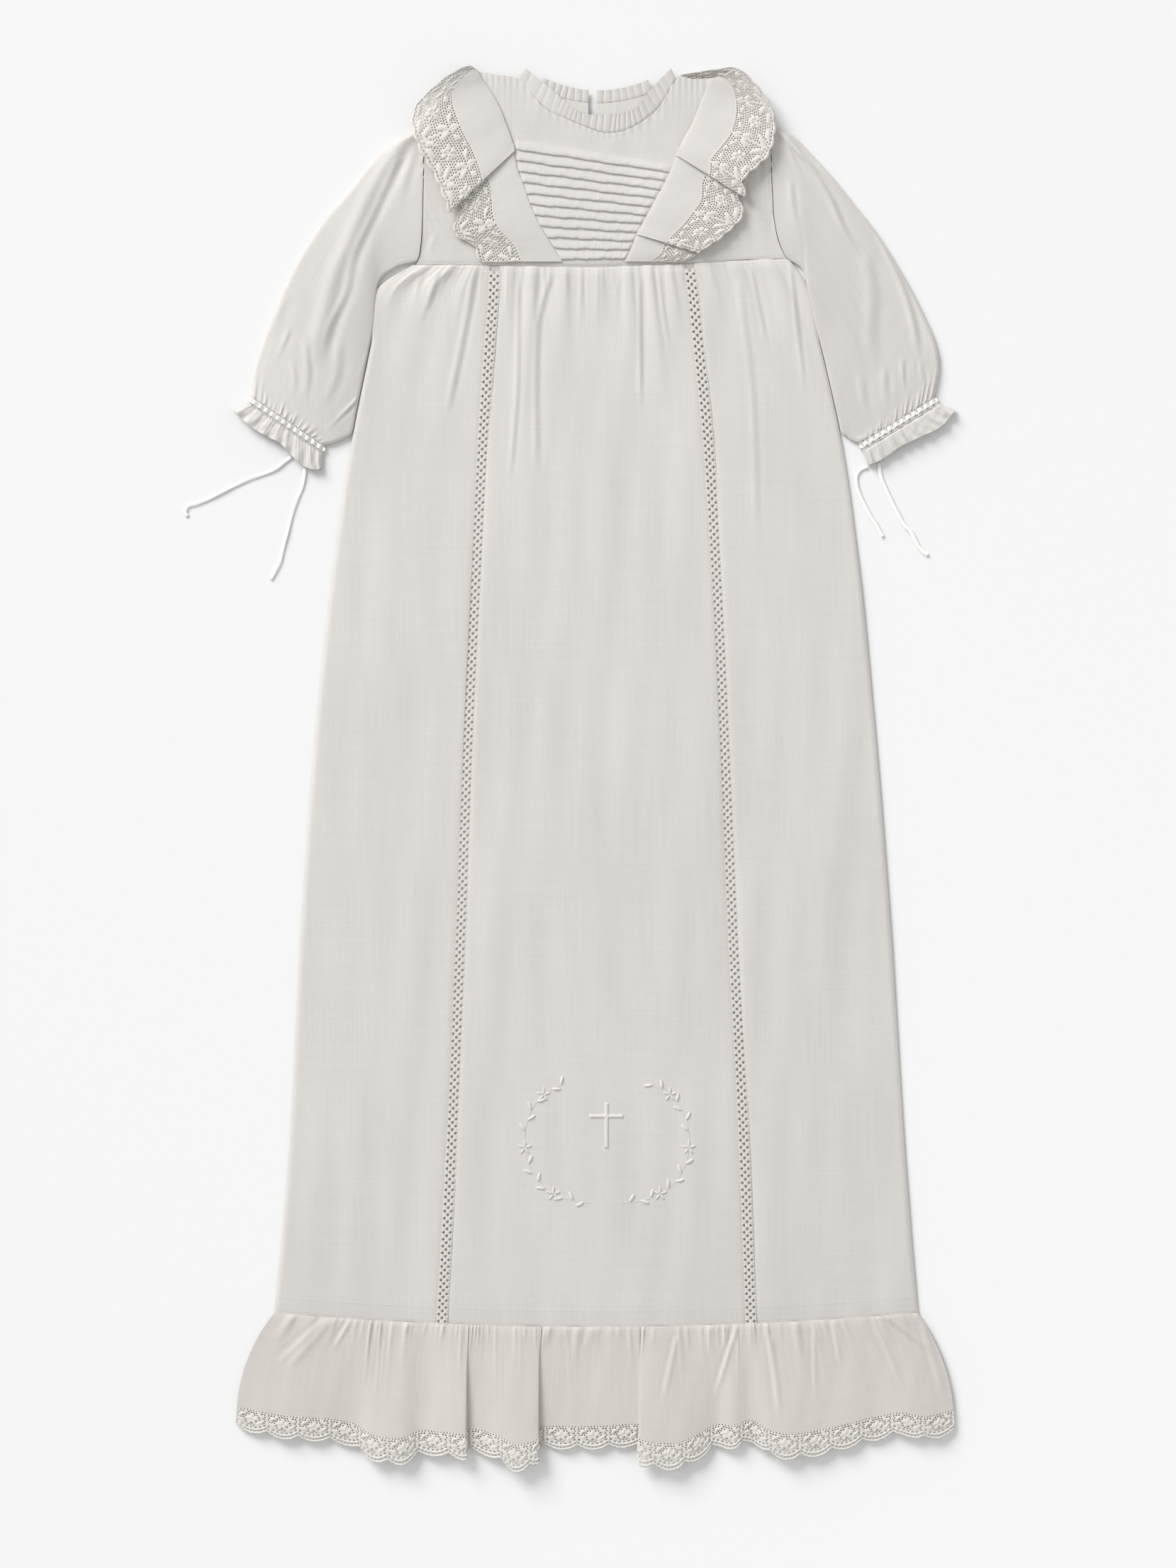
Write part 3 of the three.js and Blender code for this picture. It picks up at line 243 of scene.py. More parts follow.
def lay_ribbon(name, points, material, phase):
    line, run = spaced(points, RIBBON_STEP)
    ahead = np.gradient(line, run, axis=0)
    ahead /= np.linalg.norm(ahead, axis=1, keepdims=True)
    roll = RIBBON_ROLL * np.sin(run * 2 * math.pi / RIBBON_ROLL_RUN + phase)
    side = np.c_[-ahead[:, 1] * np.cos(roll), ahead[:, 0] * np.cos(roll), np.sin(roll)]
    up = np.cross(np.c_[ahead, np.zeros(len(run))], side)
    lift = RIBBON_HEIGHT + np.abs(side[:, 2]) * RIBBON_WIDE / 2
    centre = np.c_[line, lift]
    points = np.concatenate([
        centre + side * (a * RIBBON_WIDE) + up * (b * RIBBON_THICK) for a, b in RIBBON_SECTION
    ])
    flat = np.concatenate([np.c_[np.full(len(run), a * RIBBON_WIDE), run] for a, _ in RIBBON_SECTION])
    count, sides = len(run), len(RIBBON_SECTION)
    faces = [
        (k * count + i, (k + 1) % sides * count + i, (k + 1) % sides * count + i + 1, k * count + i + 1)
        for k in range(sides)
        for i in range(count - 1)
    ]
    faces.append([k * count for k in reversed(range(sides))])
    faces.append([k * count + count - 1 for k in range(sides)])
    piece = make_piece(name + "_satin", points, faces, flat, material)
    settle(piece, "ribbon", name)


white_satin = satin()
for phase, (name, points) in enumerate(RIBBONS.items()):
    lay_ribbon(name, points, white_satin, phase)

# Back of the skirt. One panel of fine cotton lawn, gathered into the waist seam. It lies flat on the surface
# under the front, which covers all of it but a line along its sides.
MM = 0.001
LAWN = 0.5  # thickness of the cloth
LAYER = 1.5  # one layer of the laid gown on another
BACK_TOP, FRONT_TOP = 1.1, 2.6  # height of the skirt's two faces
SKIRT_TOP, SKIRT_FOOT = 356, -393
SEAM_REACH = 75  # the slope of the waist seam is gone this far below it
FOOT_RISE, FOOT_HALF = 10, 227  # the flounce seam is higher at the sides


def table(columns, rows):
    """A short table as one array for each of its named columns."""
    return dict(zip(columns.split(), np.array(rows, float).T))


SIDES = table("y left right", [
    (-393, -226.5, 227.5), (-257, -215.5, 217.5), (-107, -207.5, 208), (43, -196, 196), (143, -185, 186),
    (237, -171, 172.5), (299, -158.5, 158.5), (343, -150, 146), (356, -129, 136),
])
WAIST = table("x y", [(-129, 356), (-87, 356), (0, 354.5), (60, 357), (136, 361)])


def mix(a, b, t):
    return a + (b - a) * t


def ease(t):
    t = np.clip(t, 0, 1)
    return t * t * (3 - 2 * t)


def bump(t):
    return 0.5 + 0.5 * np.cos(np.pi * np.clip(t, -1, 1))


def skirt_side(side):
    return lambda level: smooth(level, SIDES["y"], SIDES[side])


def foot_at(x):
    return SKIRT_FOOT + FOOT_RISE * (x / FOOT_HALF) ** 2


def skirt_plan(u, level, left, right):
    """Where a place of a skirt panel lies. u runs across it, and level is its height before seams curve."""
    x = mix(left(level), right(level), u)
    top = ease(1 - (SKIRT_TOP - level) / SEAM_REACH) * (np.interp(x, WAIST["x"], WAIST["y"]) - SKIRT_TOP)
    foot = ease((SKIRT_FOOT + SEAM_REACH - level) / SEAM_REACH) * (foot_at(x) - SKIRT_FOOT)
    return x, level + top + foot


def squares(grid, around=False):
    """The direction square to a grid of points at each of them, upwards, or outwards from a tube."""
    if around:
        grid = np.concatenate([grid[:, -1:], grid, grid[:, :1]], axis=1)
    square = np.cross(np.gradient(grid, axis=1), np.gradient(grid, axis=0))
    square /= np.maximum(np.linalg.norm(square, axis=2, keepdims=True), 1e-9)
    out = grid - grid.mean(axis=1, keepdims=True) if around else np.array([0.0, 0.0, 1.0])
    way = np.sign((square * out).sum())
    return (square[:, 1:-1] if around else square) * way, way


def grid_faces(rows, columns, around=False):
    at = np.arange(rows * columns).reshape(rows, columns)
    if around:
        at = np.c_[at, at[:, :1]]
    corners = [at[:-1, :-1], at[:-1, 1:], at[1:, 1:], at[1:, :-1]]
    return np.stack(corners, axis=-1).reshape(-1, 4)


def walled(outer, inner, faces):
    """A closed wall from an outer face and an inner one, joined along their free edges."""
    count = faces.shape[1]
    edges = np.concatenate([faces[:, [k, (k + 1) % count]] for k in range(count)])
    _, first, times = np.unique(np.sort(edges, axis=1), axis=0, return_index=True, return_counts=True)
    rim = edges[first[times == 1]]
    size = len(outer)
    rims = np.c_[rim[:, 1], rim[:, 0], rim[:, 0] + size, rim[:, 1] + size]
    return np.concatenate([outer, inner]), faces.tolist() + (faces[:, ::-1] + size).tolist() + rims.tolist()


def sew(name, grid, flat, material, thick=LAWN, around=False):
    """A thin closed wall of cloth under a grid of points, in mm. flat is the same grid on the uncut cloth."""
    square, way = squares(grid, around)
    inner = grid - square * thick
    inner[..., 2] = np.maximum(inner[..., 2], 0)
    faces = grid_faces(*grid.shape[:2], around)
    if way < 0:
        faces = faces[:, ::-1]
    points, faces = walled(grid.reshape(-1, 3) * MM, inner.reshape(-1, 3) * MM, faces)
    flat = np.tile(flat.reshape(-1, 2) * MM, (2, 1))
    piece = make_piece(name, points, faces, flat, material)
    piece.data.set_sharp_from_angle(angle=math.radians(60))
    return piece


def cotton(name, light, dull, thread=0.36):
    """Cotton lawn. Its fine yarns vary a little in thickness and shade, so the cloth is faintly barred."""
    lawn = Finish(name, Roughness=0.92, Sheen_Weight=0.2, Sheen_Roughness=0.6, Specular_IOR_Level=0.2)
    lengthwise = lawn.noise((1100, 14, 1), detail=3)
    crosswise = lawn.noise((14, 900, 1), detail=3)
    broad = lawn.noise((16, 7, 1), detail=3)
    share = lengthwise * 1.1 + crosswise * 0.7 + broad * 1.2 - 1.0
    tint = lawn.blend(share, colour(*light), colour(*dull))
    lawn.feed(lawn.shader.inputs["Base Color"], tint)
    turns = 2 * math.pi / (thread * MM)
    where = lawn.place((turns, turns, 1))
    across = lawn.node("ShaderNodeSeparateXYZ", {}, {0: where}, out=0).sine()
    along = lawn.node("ShaderNodeSeparateXYZ", {}, {0: where}, out=1).sine()
    lawn.relief(across * along + lengthwise * 1.5 + crosswise, 0.00004)
    return lawn.material


lawn_cloth = cotton("cotton_lawn", (220, 216, 211), (208, 204, 199))


def plan_sheet(plan, height, us, vs):
    """The grid of a sheet that lies flat: plan(u, v) is its outline from above, and height(x, y) its top."""
    u, v = np.meshgrid(us, vs)
    x, y = plan(u, v)
    return np.stack([x, y, height(x, y)], axis=-1), np.stack([x, y], axis=-1)


def skirt_levels(fine, middle, coarse):
    """Levels of the skirt, closest together in its gathers."""
    return np.r_[
        np.arange(SKIRT_FOOT, 200, coarse), np.arange(200, 300, middle),
        np.arange(300, SKIRT_TOP, fine), SKIRT_TOP
    ]


grid, flat = plan_sheet(
    lambda u, v: skirt_plan(u, v, skirt_side("left"), skirt_side("right")),
    lambda x, y: np.full(x.shape, BACK_TOP),
    np.linspace(0, 1, 60), skirt_levels(8, 10, 16),
)
skirt_back = sew("skirt_back_cloth", grid, flat, lawn_cloth)
settle(skirt_back, "cloth", "skirt_back")

# Front of the skirt. Three panels of the same lawn, with an openwork band between each two. Each is gathered
# by hand into the waist seam, so that small folds of uneven height and reach run down from it and die out.
BANDS = table("y left right", [
    (-393, -108.4, 109.8), (-257, -101, 104.6), (-107, -94.6, 96.8), (43, -88.8, 90.2), (143, -83.8, 85.2),
    (237, -79, 79.2), (299, -74.6, 72.8), (343, -71.4, 67.8), (356, -71, 66),
])
BAND_HALF = 4
GATHERS = table("at tall wide reach lean", [
    (-118, 1.3, 9, 55, -6), (-101, 1.8, 11, 95, -10), (-84, 1.0, 8, 70, -8), (-60, 1.0, 7, 70, 0),
    (-44, 1.8, 10, 150, -2), (-22, 1.4, 10, 90, -2), (2, 1.1, 11, 60, 0), (23, 1.5, 9, 90, 0),
    (38, 1.7, 7, 110, 2), (52, 1.2, 7, 75, 4), (79, 0.9, 8, 60, 4), (97, 1.2, 10, 80, 6),
    (119, 1.8, 11, 120, 8),
])
# Lines of the longer folds, from the waist down: the points of each, its height and its width
CREASES = [
    ([(-122.5, 350), (-130.5, 321)], 0.8, 1.6),
    ([(-111.5, 350), (-118, 330), (-126.5, 309)], 0.9, 1.8),
    ([(-86, 348), (-95, 300), (-106.5, 245)], 0.9, 2.2),
    ([(-54.5, 342), (-56, 262), (-61, 200)], 0.7, 1.6),
    ([(-32.5, 348), (-40.5, 317), (-42, 292), (-42, 205)], 0.8, 2.2),
    ([(-10, 353), (-10.5, 307)], 0.6, 1.6),
    ([(15, 340), (15, 316)], 0.5, 1.4),
    ([(31, 345), (31.5, 250)], 0.8, 1.6),
    ([(44.5, 352), (48, 320), (53.5, 290)], 0.7, 1.5),
    ([(101, 342), (110, 266), (113, 163)], 0.5, 2.4),
    ([(110, 350), (122.5, 290)], 0.7, 1.6),
    ([(137.5, 354), (144, 294), (148, 262)], 0.8, 1.6),
]
SMALL_GATHERS = 84
rng = np.random.default_rng(11)
small = {
    "at": np.sort(np.linspace(-127, 134, SMALL_GATHERS) + rng.uniform(-1.2, 1.2, SMALL_GATHERS)),
    "tall": rng.uniform(0.15, 0.75, SMALL_GATHERS),
    "wide": rng.uniform(1.3, 2.4, SMALL_GATHERS),
    "reach": rng.uniform(7, 30, SMALL_GATHERS) * rng.choice([1, 1, 1.9], SMALL_GATHERS),
    "lean": rng.uniform(-6, 6, SMALL_GATHERS),
}


def gather_height(at, depth, folds):
    """Height of the gathers at a place along the waist seam and a depth below it."""
    total = np.zeros(np.broadcast(at, depth).shape)
    for place, tall, wide, reach, lean in zip(*(folds[k] for k in ("at", "tall", "wide", "reach", "lean"))):
        t = (at - place - lean * depth / 100) / (wide * (0.7 + 0.6 * ease(depth / reach)))
        skewed = np.where(t > 0, t * 1.3, t * 0.85)
        total += tall * bump(skewed) * (1 - ease(depth / reach)) * (0.5 + 0.5 * ease(depth / 6))
    return total


def crease_height(x, y, lines):
    """A narrow ridge with a hollow beside it along each crease line."""
    total = np.zeros(x.shape)
    for points, tall, wide in lines:
        xs, ys = np.array(points, float)[::-1].T
        off = (x - smooth(y, ys, xs)) / wide
        fade = ease((y - ys[0]) / 30) * ease((ys[-1] + 6 - y) / 12) * (y > ys[0]) * (y < ys[-1] + 6)
        total += tall * fade * (np.exp(-off * off) - 0.5 * np.exp(-((off - 1.7) ** 2)))
    return total


def ripples(x, y, seed, across=(22, 70), down=(160, 600), tall=0.3, count=7):
    """Long soft undulations of cloth that was folded and pressed, as a sum of a few slanted waves."""
    draw = np.random.default_rng(seed)
    total = np.zeros(np.broadcast(x, y).shape)
    for _ in range(count):
        wide, long = draw.uniform(*across), draw.uniform(*down) * draw.choice([-1, 1])
        total += np.sin(2 * np.pi * (x / wide + y / long) + draw.uniform(0, 2 * np.pi))
    return tall * total / math.sqrt(count)


def front_height(x, y, at, level, edges):
    depth = SKIRT_TOP - level
    height = FRONT_TOP + gather_height(at, depth, GATHERS) + gather_height(at, depth, small)
    height += crease_height(x, y, CREASES) + ripples(x, y, 3) * ease(depth / 60) * 0.8
    height -= 0.9 * np.exp(-depth / 2) + 0.7 * np.exp(-(level - SKIRT_FOOT) / 2)
    for kind, away in edges:
        if kind == "band":
            height -= 0.5 * np.exp(-away / 1.2) + 0.1 * np.sin(y * 1.9) * np.exp(-away / 3)
        else:
            height -= 1.3 * (1 - np.sqrt(1 - (1 - np.clip(away / 3.5, 0, 1)) ** 2))
    return np.maximum(height, BACK_TOP + 0.2)


def band_line(side, shift):
    return lambda level: smooth(level, BANDS["y"], BANDS[side]) + shift


def front_panel(name, left, right, kinds, columns):
    u, level = np.meshgrid(np.linspace(0, 1, columns), skirt_levels(2, 4, 8))
    x, y = skirt_plan(u, level, left, right)
    at = mix(left(SKIRT_TOP), right(SKIRT_TOP), u)
    edges = [(kinds[0], x - left(level)), (kinds[1], right(level) - x)]
    grid = np.stack([x, y, front_height(x, y, at, level, edges)], axis=-1)
    piece = sew(name + "_cloth", grid, np.stack([x, y], axis=-1), lawn_cloth)
    settle(piece, "cloth", name)
    return grid


left_grid = front_panel(
    "skirt_front_left", skirt_side("left"), band_line("left", 0.6 - BAND_HALF), ("side", "band"), 60,
)
centre_grid = front_panel(
    "skirt_front_centre", band_line("left", BAND_HALF - 0.6), band_line("right", 0.6 - BAND_HALF),
    ("band", "band"), 120,
)
right_grid = front_panel(
    "skirt_front_right", band_line("right", BAND_HALF - 0.6), skirt_side("right"), ("band", "side"), 64,
)

# Openwork bands. Each is a strip of the same cotton, 8 mm wide, with threads drawn out and the rest tied in
# crossing bundles, so that it has a lattice of small holes. It is sewn between two panels of the skirt.
LACE_THICK = 0.45
BAND_STEP = 5.0
BAND_HOLES = [(-2.3, 1.25, 0.85, 1.05), (2.3, 1.25, 0.85, 1.05), (0, 3.75, 0.9, 1.1)]
# How far the bands lie above the back of the skirt: least where their holes look palest
BAND_CLEAR = table("y left right", [
    (-393, 0.75, 0.75), (-330, 0.8, 0.8), (-230, 0.35, 0.5), (-120, 0.1, 0.15), (60, 0.05, 0.1),
    (180, 0.1, 0.3),
    (240, 0.35, 0.8), (300, 0.8, 0.8), (356, 0.7, 0.7),
])
BAND_PINHOLES = [(-3.5, 1.25), (3.5, 1.25), (-3.5, 3.75), (3.5, 3.75)]


def oval(x, y, wide, tall, sides=8, turn=0.0):
    angle = np.linspace(0, 2 * np.pi, sides, endpoint=False) + np.pi / sides
    a, b = wide * np.cos(angle), tall * np.sin(angle)
    return np.c_[x + a * np.cos(turn) - b * np.sin(turn), y + a * np.sin(turn) + b * np.cos(turn)]


def to_edges(points, starts, ends):
    """The distance of each point from the nearest of some edges."""
    run = ends - starts
    length = np.maximum((run**2).sum(axis=1), 1e-12)
    off = points[:, None] - starts
    t = np.clip((off * run).sum(axis=2) / length, 0, 1)
    return np.sqrt(((off - t[..., None] * run) ** 2).sum(axis=2)).min(axis=1)


def inside(points, starts, ends):
    """Whether each point is inside the loops, by counting the edges to its right."""
    x, y = points[:, :1], points[:, 1:]
    (x0, y0), (x1, y1) = starts.T, ends.T
    spans = (y0 > y) != (y1 > y)
    slope = np.divide(x1 - x0, y1 - y0, out=np.zeros_like(x0), where=y1 != y0)
    return (spans & (x < x0 + (y - y0) * slope)).sum(axis=1) % 2 == 1


def pierced(name, outline, holes, joints=None, grain=0.8, raised=None):
    """A flat motif of lace, as wide as its outline, with holes. Its threads are round: thin at each edge,
    thick between. joints(x, y) tells where it joins the next one, and raised(x, y) is the height of its
    stitches."""
    loops = [np.asarray(outline, float), *holes]
    starts = np.concatenate(loops)
    ends = np.concatenate([np.roll(loop, -1, axis=0) for loop in loops])
    low, high = starts.min(axis=0), starts.max(axis=0)
    xs, ys = np.meshgrid(np.arange(low[0], high[0], grain), np.arange(low[1], high[1], grain * 0.87))
    xs[1::2] += grain / 2
    filler = np.c_[xs.ravel(), ys.ravel()]
    free = np.ones(len(starts), bool)
    if joints:
        middle = (starts + ends) / 2
        free = ~joints(middle[:, 0], middle[:, 1])
    filler = filler[inside(filler, starts, ends)]
    filler = filler[to_edges(filler, starts, ends) > 0.32]
    chain = [(i, i + 1) for i in range(len(starts))]
    at = 0
    for loop in loops:
        chain[at + len(loop) - 1] = (at + len(loop) - 1, at)
        at += len(loop)
    points = np.concatenate([starts, filler])
    corners, _, faces, *_ = delaunay_2d_cdt([tuple(p) for p in points], chain, [], 0, 1e-5)
    corners, faces = np.array(corners), np.array(faces)
    faces = faces[inside(corners[faces].mean(axis=1), starts, ends)]
    away = to_edges(corners, starts[free], ends[free])
    top = LACE_THICK * (0.4 + 0.6 * ease(away / 0.45))
    if raised:
        top += raised(corners[:, 0], corners[:, 1]) * ease(away / 0.4)
    outer, inner = np.c_[corners, top] * MM, np.c_[corners, np.zeros(len(corners))] * MM
    points, quads = walled(outer, inner, faces)
    if joints:
        quads = [q for q in quads if len(q) == 3 or not joints(*(points[q][:, :2].mean(axis=0) / MM))]
    flat = np.tile(corners * MM, (2, 1))
    return make_piece(name, points, quads, flat)


def laying_tree():
    """Geometry Nodes that lay copies of a flat motif on a cloth. A copy stands at each given place in its
    flat coordinates, and each of its points then goes where that place of the cloth lies."""
    tree = bpy.data.node_groups.new("lay_on_cloth", "GeometryNodeTree")
    for label, kind in {
        "Places": "Geometry", "Motif": "Object", "Cloth": "Object", "Lift": "Float", "Unevenness": "Float",
        "Seed": "Int", "Weld": "Float", "Finish": "Material",
    }.items():
        tree.interface.new_socket(label, in_out="INPUT", socket_type="NodeSocket" + kind)
    tree.interface.new_socket("Laid", in_out="OUTPUT", socket_type="NodeSocketGeometry")
    work = Nodes(tree)
    given = work.node("NodeGroupInput")
    sway = work.node(
        "FunctionNodeRandomValue", {"data_type": "FLOAT"},
        {2: -1.0, 3: 1.0, "Seed": given.other("Seed")}, out=1
    )
    turn = work.node("GeometryNodeInputNamedAttribute", {"data_type": "FLOAT"}, {"Name": "turn"})
    size = work.node("GeometryNodeInputNamedAttribute", {"data_type": "FLOAT"}, {"Name": "size"})
    turned = work.node("ShaderNodeCombineXYZ", {}, {"Z": turn + sway * given.other("Unevenness")})
    motif = work.node("GeometryNodeObjectInfo", {}, {"Object": given.other("Motif")}, out="Geometry")
    copies = work.node("GeometryNodeInstanceOnPoints", {}, {
        "Points": given.other("Places"), "Instance": motif, "Rotation": turned, "Scale": size,
    })
    real = work.node("GeometryNodeRealizeInstances", {}, {"Geometry": copies})
    spot = work.node("GeometryNodeInputPosition")
    x, y, z = (work.node("ShaderNodeSeparateXYZ", {}, {0: spot}, out=k) for k in range(3))
    cloth = work.node("GeometryNodeObjectInfo", {}, {"Object": given.other("Cloth")}, out="Geometry")
    sampled = []
    for name in ("cloth", "up"):
        field = {"data_type": "FLOAT_VECTOR"}
        up = {"Name": "up"}
        value = spot if name == "cloth" else work.node("GeometryNodeInputNamedAttribute", field, up)
        sampled.append(work.node("GeometryNodeSampleUVSurface", field, {
            "Mesh": cloth, "Value": value,
            "UV Map": work.node("GeometryNodeInputNamedAttribute", field, {"Name": "cloth"}),
            "Sample UV": work.node("ShaderNodeCombineXYZ", {}, {"X": x, "Y": y}),
        }))
    off_cloth = work.node("FunctionNodeBooleanMath", {"operation": "NOT"}, {0: sampled[0].other("Is Valid")})
    kept = work.node("GeometryNodeDeleteGeometry", {}, {"Geometry": real, "Selection": off_cloth})
    stand = work.node("ShaderNodeVectorMath", {"operation": "SCALE"}, {
        0: sampled[1], "Scale": z + given.other("Lift"),
    })
    where = work.node("ShaderNodeVectorMath", {"operation": "ADD"}, {0: sampled[0], 1: stand})
    laid = work.node("GeometryNodeSetPosition", {}, {"Geometry": kept, "Position": where})
    whole = work.node("GeometryNodeMergeByDistance", {}, {"Geometry": laid, "Distance": given.other("Weld")})
    done = work.node("GeometryNodeSetMaterial", {}, {"Geometry": whole, "Material": given.other("Finish")})
    work.feed(tree.nodes.new("NodeGroupOutput").inputs[0], done)
    return tree


LAYING = laying_tree()
LAYING_INPUTS = {item.name: item.identifier for item in LAYING.interface.items_tree if item.in_out == "INPUT"}


def template(grid, flat, square=None):
    """The outer face of a cloth alone, for motifs to be laid on. It is taken away once they are."""
    if square is None:
        square, way = squares(grid)
    faces = grid_faces(*grid.shape[:2])
    piece = make_piece("template", grid.reshape(-1, 3) * MM, faces.tolist(), flat.reshape(-1, 2) * MM)
    up = piece.data.attributes.new("up", "FLOAT_VECTOR", "POINT")
    up.data.foreach_set("vector", square.ravel().astype(np.float32))
    return piece


def close_ends(mesh):
    """Fills the two ends of a strip of joined motifs, so that its wall is closed."""
    work = bmesh.new()
    work.from_mesh(mesh)
    open_edges = [edge for edge in work.edges if edge.is_boundary]
    bmesh.ops.holes_fill(work, edges=open_edges, sides=0)
    bmesh.ops.triangulate(work, faces=[face for face in work.faces if len(face.verts) > 4])
    if work.calc_volume(signed=True) < 0:
        bmesh.ops.reverse_faces(work, faces=work.faces)
    work.to_mesh(mesh)
    work.free()


def lay(name, motif, places, cloth, material, lift=0.0, uneven=0.0, seed=1, weld=0.02):
    """Copies of a motif laid on a cloth. Each place has x and y in mm on the flat cloth, a turn and a
    size."""
    places = np.array([(*p, 0, 1)[:4] if len(p) == 2 else p for p in places], float)
    mesh = bpy.data.meshes.new(name)
    mesh.from_pydata(np.c_[places[:, :2] * MM, np.zeros(len(places))].tolist(), [], [])
    for key, column in (("turn", 2), ("size", 3)):
        values = mesh.attributes.new(key, "FLOAT", "POINT").data
        values.foreach_set("value", places[:, column].astype(np.float32))
    piece = bpy.data.objects.new(name, mesh)
    bpy.context.scene.collection.objects.link(piece)
    nodes = piece.modifiers.new("lay", "NODES")
    nodes.node_group = LAYING
    given = {"Motif": motif, "Cloth": cloth, "Lift": lift * MM, "Unevenness": uneven, "Seed": seed,
             "Weld": weld * MM, "Finish": material}
    for label, value in given.items():
        nodes[LAYING_INPUTS[label]] = value
    graph = bpy.context.evaluated_depsgraph_get()
    laid = bpy.data.meshes.new_from_object(piece.evaluated_get(graph), depsgraph=graph)
    piece.modifiers.remove(nodes)
    close_ends(laid)
    piece.data = laid
    laid.name = name
    laid.shade_smooth()
    laid.set_sharp_from_angle(angle=math.radians(60))
    return piece


def put_away(*objects):
    for piece in objects:
        bpy.data.objects.remove(piece)


lace_cotton = cotton("lace_cotton", (221, 217, 211), (205, 201, 194), thread=0.5)


def band_tile():
    outline = [(-4, 0), (-2, 0), (0, 0), (2, 0), (4, 0), (4, BAND_STEP), (2, BAND_STEP), (0, BAND_STEP),
               (-2, BAND_STEP), (-4, BAND_STEP)]
    holes = [oval(*hole) for hole in BAND_HOLES] + [oval(x, y, 0.3, 0.3, 6) for x, y in BAND_PINHOLES]
    return pierced(
        "band_tile", outline, holes,
        joints=lambda x, y: (np.abs(y) < 0.01) | (np.abs(y - BAND_STEP) < 0.01),
        raised=lambda x, y: 0.25 * (np.abs(np.abs(x) - 3.1) < 0.3),
    )


tile = band_tile()
for side in ("left", "right"):
    u, level = np.meshgrid(np.linspace(0, 1, 5), skirt_levels(4, 5, 8))
    x, y = skirt_plan(u, level, band_line(side, -BAND_HALF), band_line(side, BAND_HALF))
    clear = smooth(level, BAND_CLEAR["y"], BAND_CLEAR[side])
    height = BACK_TOP + 0.5 + clear + 0.1 * ripples(x, y, 3) - 0.4 * np.exp((level - SKIRT_TOP) / 2)
    grid = np.stack([x, y, height], axis=-1)
    flat = np.stack([(u - 0.5) * 2 * BAND_HALF, level - SKIRT_FOOT], axis=-1)
    cloth = template(grid, flat)
    count = int((SKIRT_TOP - SKIRT_FOOT) // BAND_STEP)
    steps = [(0, k * BAND_STEP) for k in range(count)]
    band = lay("insertion_" + side + "_openwork", tile, steps, cloth, lace_cotton)
    settle(band, "lace", "insertion_" + side)
    put_away(cloth)
put_away(tile)

# Hem flounce. A deep strip of the same lawn, cut half as long again as the skirt's hem and gathered onto it,
# so that it falls in rounded ribs. Two of them have turned over, and lie on the cloth beside them.
FLOUNCE_DEEP = 95
LACE_FROM = 0.795  # share of the flounce's depth at which its lace starts
RIBS = table("seam hem foot lift", [
    (-226, -253.5, -466, 0.3), (-200, -218, -473, 3), (-178, -190, -475, 1.6), (-163, -171, -479, 0.8),
    (-152, -157, -488, 5), (-132, -138, -491, 5.6), (-118, -124, -485, 2.2), (-104, -110, -485, 3.5),
    (-92, -92, -487, 6), (-87, -91, -483, 0.8), (-78, -79, -484, 1.6), (-68, -67, -489, 5),
    (-55, -55, -495.5, 7.6), (-41, -40.5, -490, 6), (-34, -40, -481, 0.6), (-12, -14, -480.5, 1.5),
    (10, 9, -480, 1.6), (27, 31, -479, 0.6), (35, 31.5, -490.5, 6.6), (52, 56, -494, 6), (70, 74, -486, 3),
    (84, 86, -479, 1), (97, 98, -480, 3.2), (108, 110, -475.5, 1), (118, 123, -484, 4.6),
    (131, 138, -487, 5.4),
    (148, 160, -484, 3.4), (167, 182, -478, 2.4), (184, 200, -473.5, 0.8), (199, 216, -470, 2.6),
    (212, 232, -473.5, 3.6), (227, 253, -469, 0.3),
])
SPREAD = 2.4  # how early the flounce widens below its seam
FLOUNCE_CREASES = [
    ([(-192, -389), (-228.5, -424)], 0.9, 2.2), ([(-187, -389), (-222.8, -428)], 0.8, 2.6),
    ([(-173, -389), (-186, -411)], 0.8, 1.6), ([(-151, -391), (-155.5, -447)], 0.6, 1.0),
    ([(-148, -391), (-152, -440)], 0.5, 1.0), ([(-21, -394), (-16, -452)], 0.6, 1.0),
    ([(-5.4, -394), (-8, -412)], 0.5, 0.9), ([(57, -402), (46.5, -450)], 0.7, 1.6),
    ([(99.5, -394), (83.5, -445)], 0.8, 1.6), ([(123.5, -402), (131, -462)], 0.9, 2.0),
    ([(154, -396), (155, -449)], 0.7, 1.2), ([(167.5, -389), (174, -426)], 0.8, 1.4),
    ([(195.5, -387), (219, -439)], 0.8, 1.8), ([(205.5, -386), (242, -414)], 0.9, 1.8),
    ([(231, -392), (249, -452)], 0.6, 2.2),
]
FLOUNCE_GATHERS = 150
draw = np.random.default_rng(23)
pleats = {
    "at": np.sort(draw.uniform(0, len(RIBS["seam"]) - 1, FLOUNCE_GATHERS)),
    "tall": draw.uniform(0.2, 0.9, FLOUNCE_GATHERS),
    "wide": draw.uniform(0.08, 0.2, FLOUNCE_GATHERS),
    "reach": draw.uniform(0.1, 0.32, FLOUNCE_GATHERS) * draw.choice([1, 1, 1, 2], FLOUNCE_GATHERS),
}


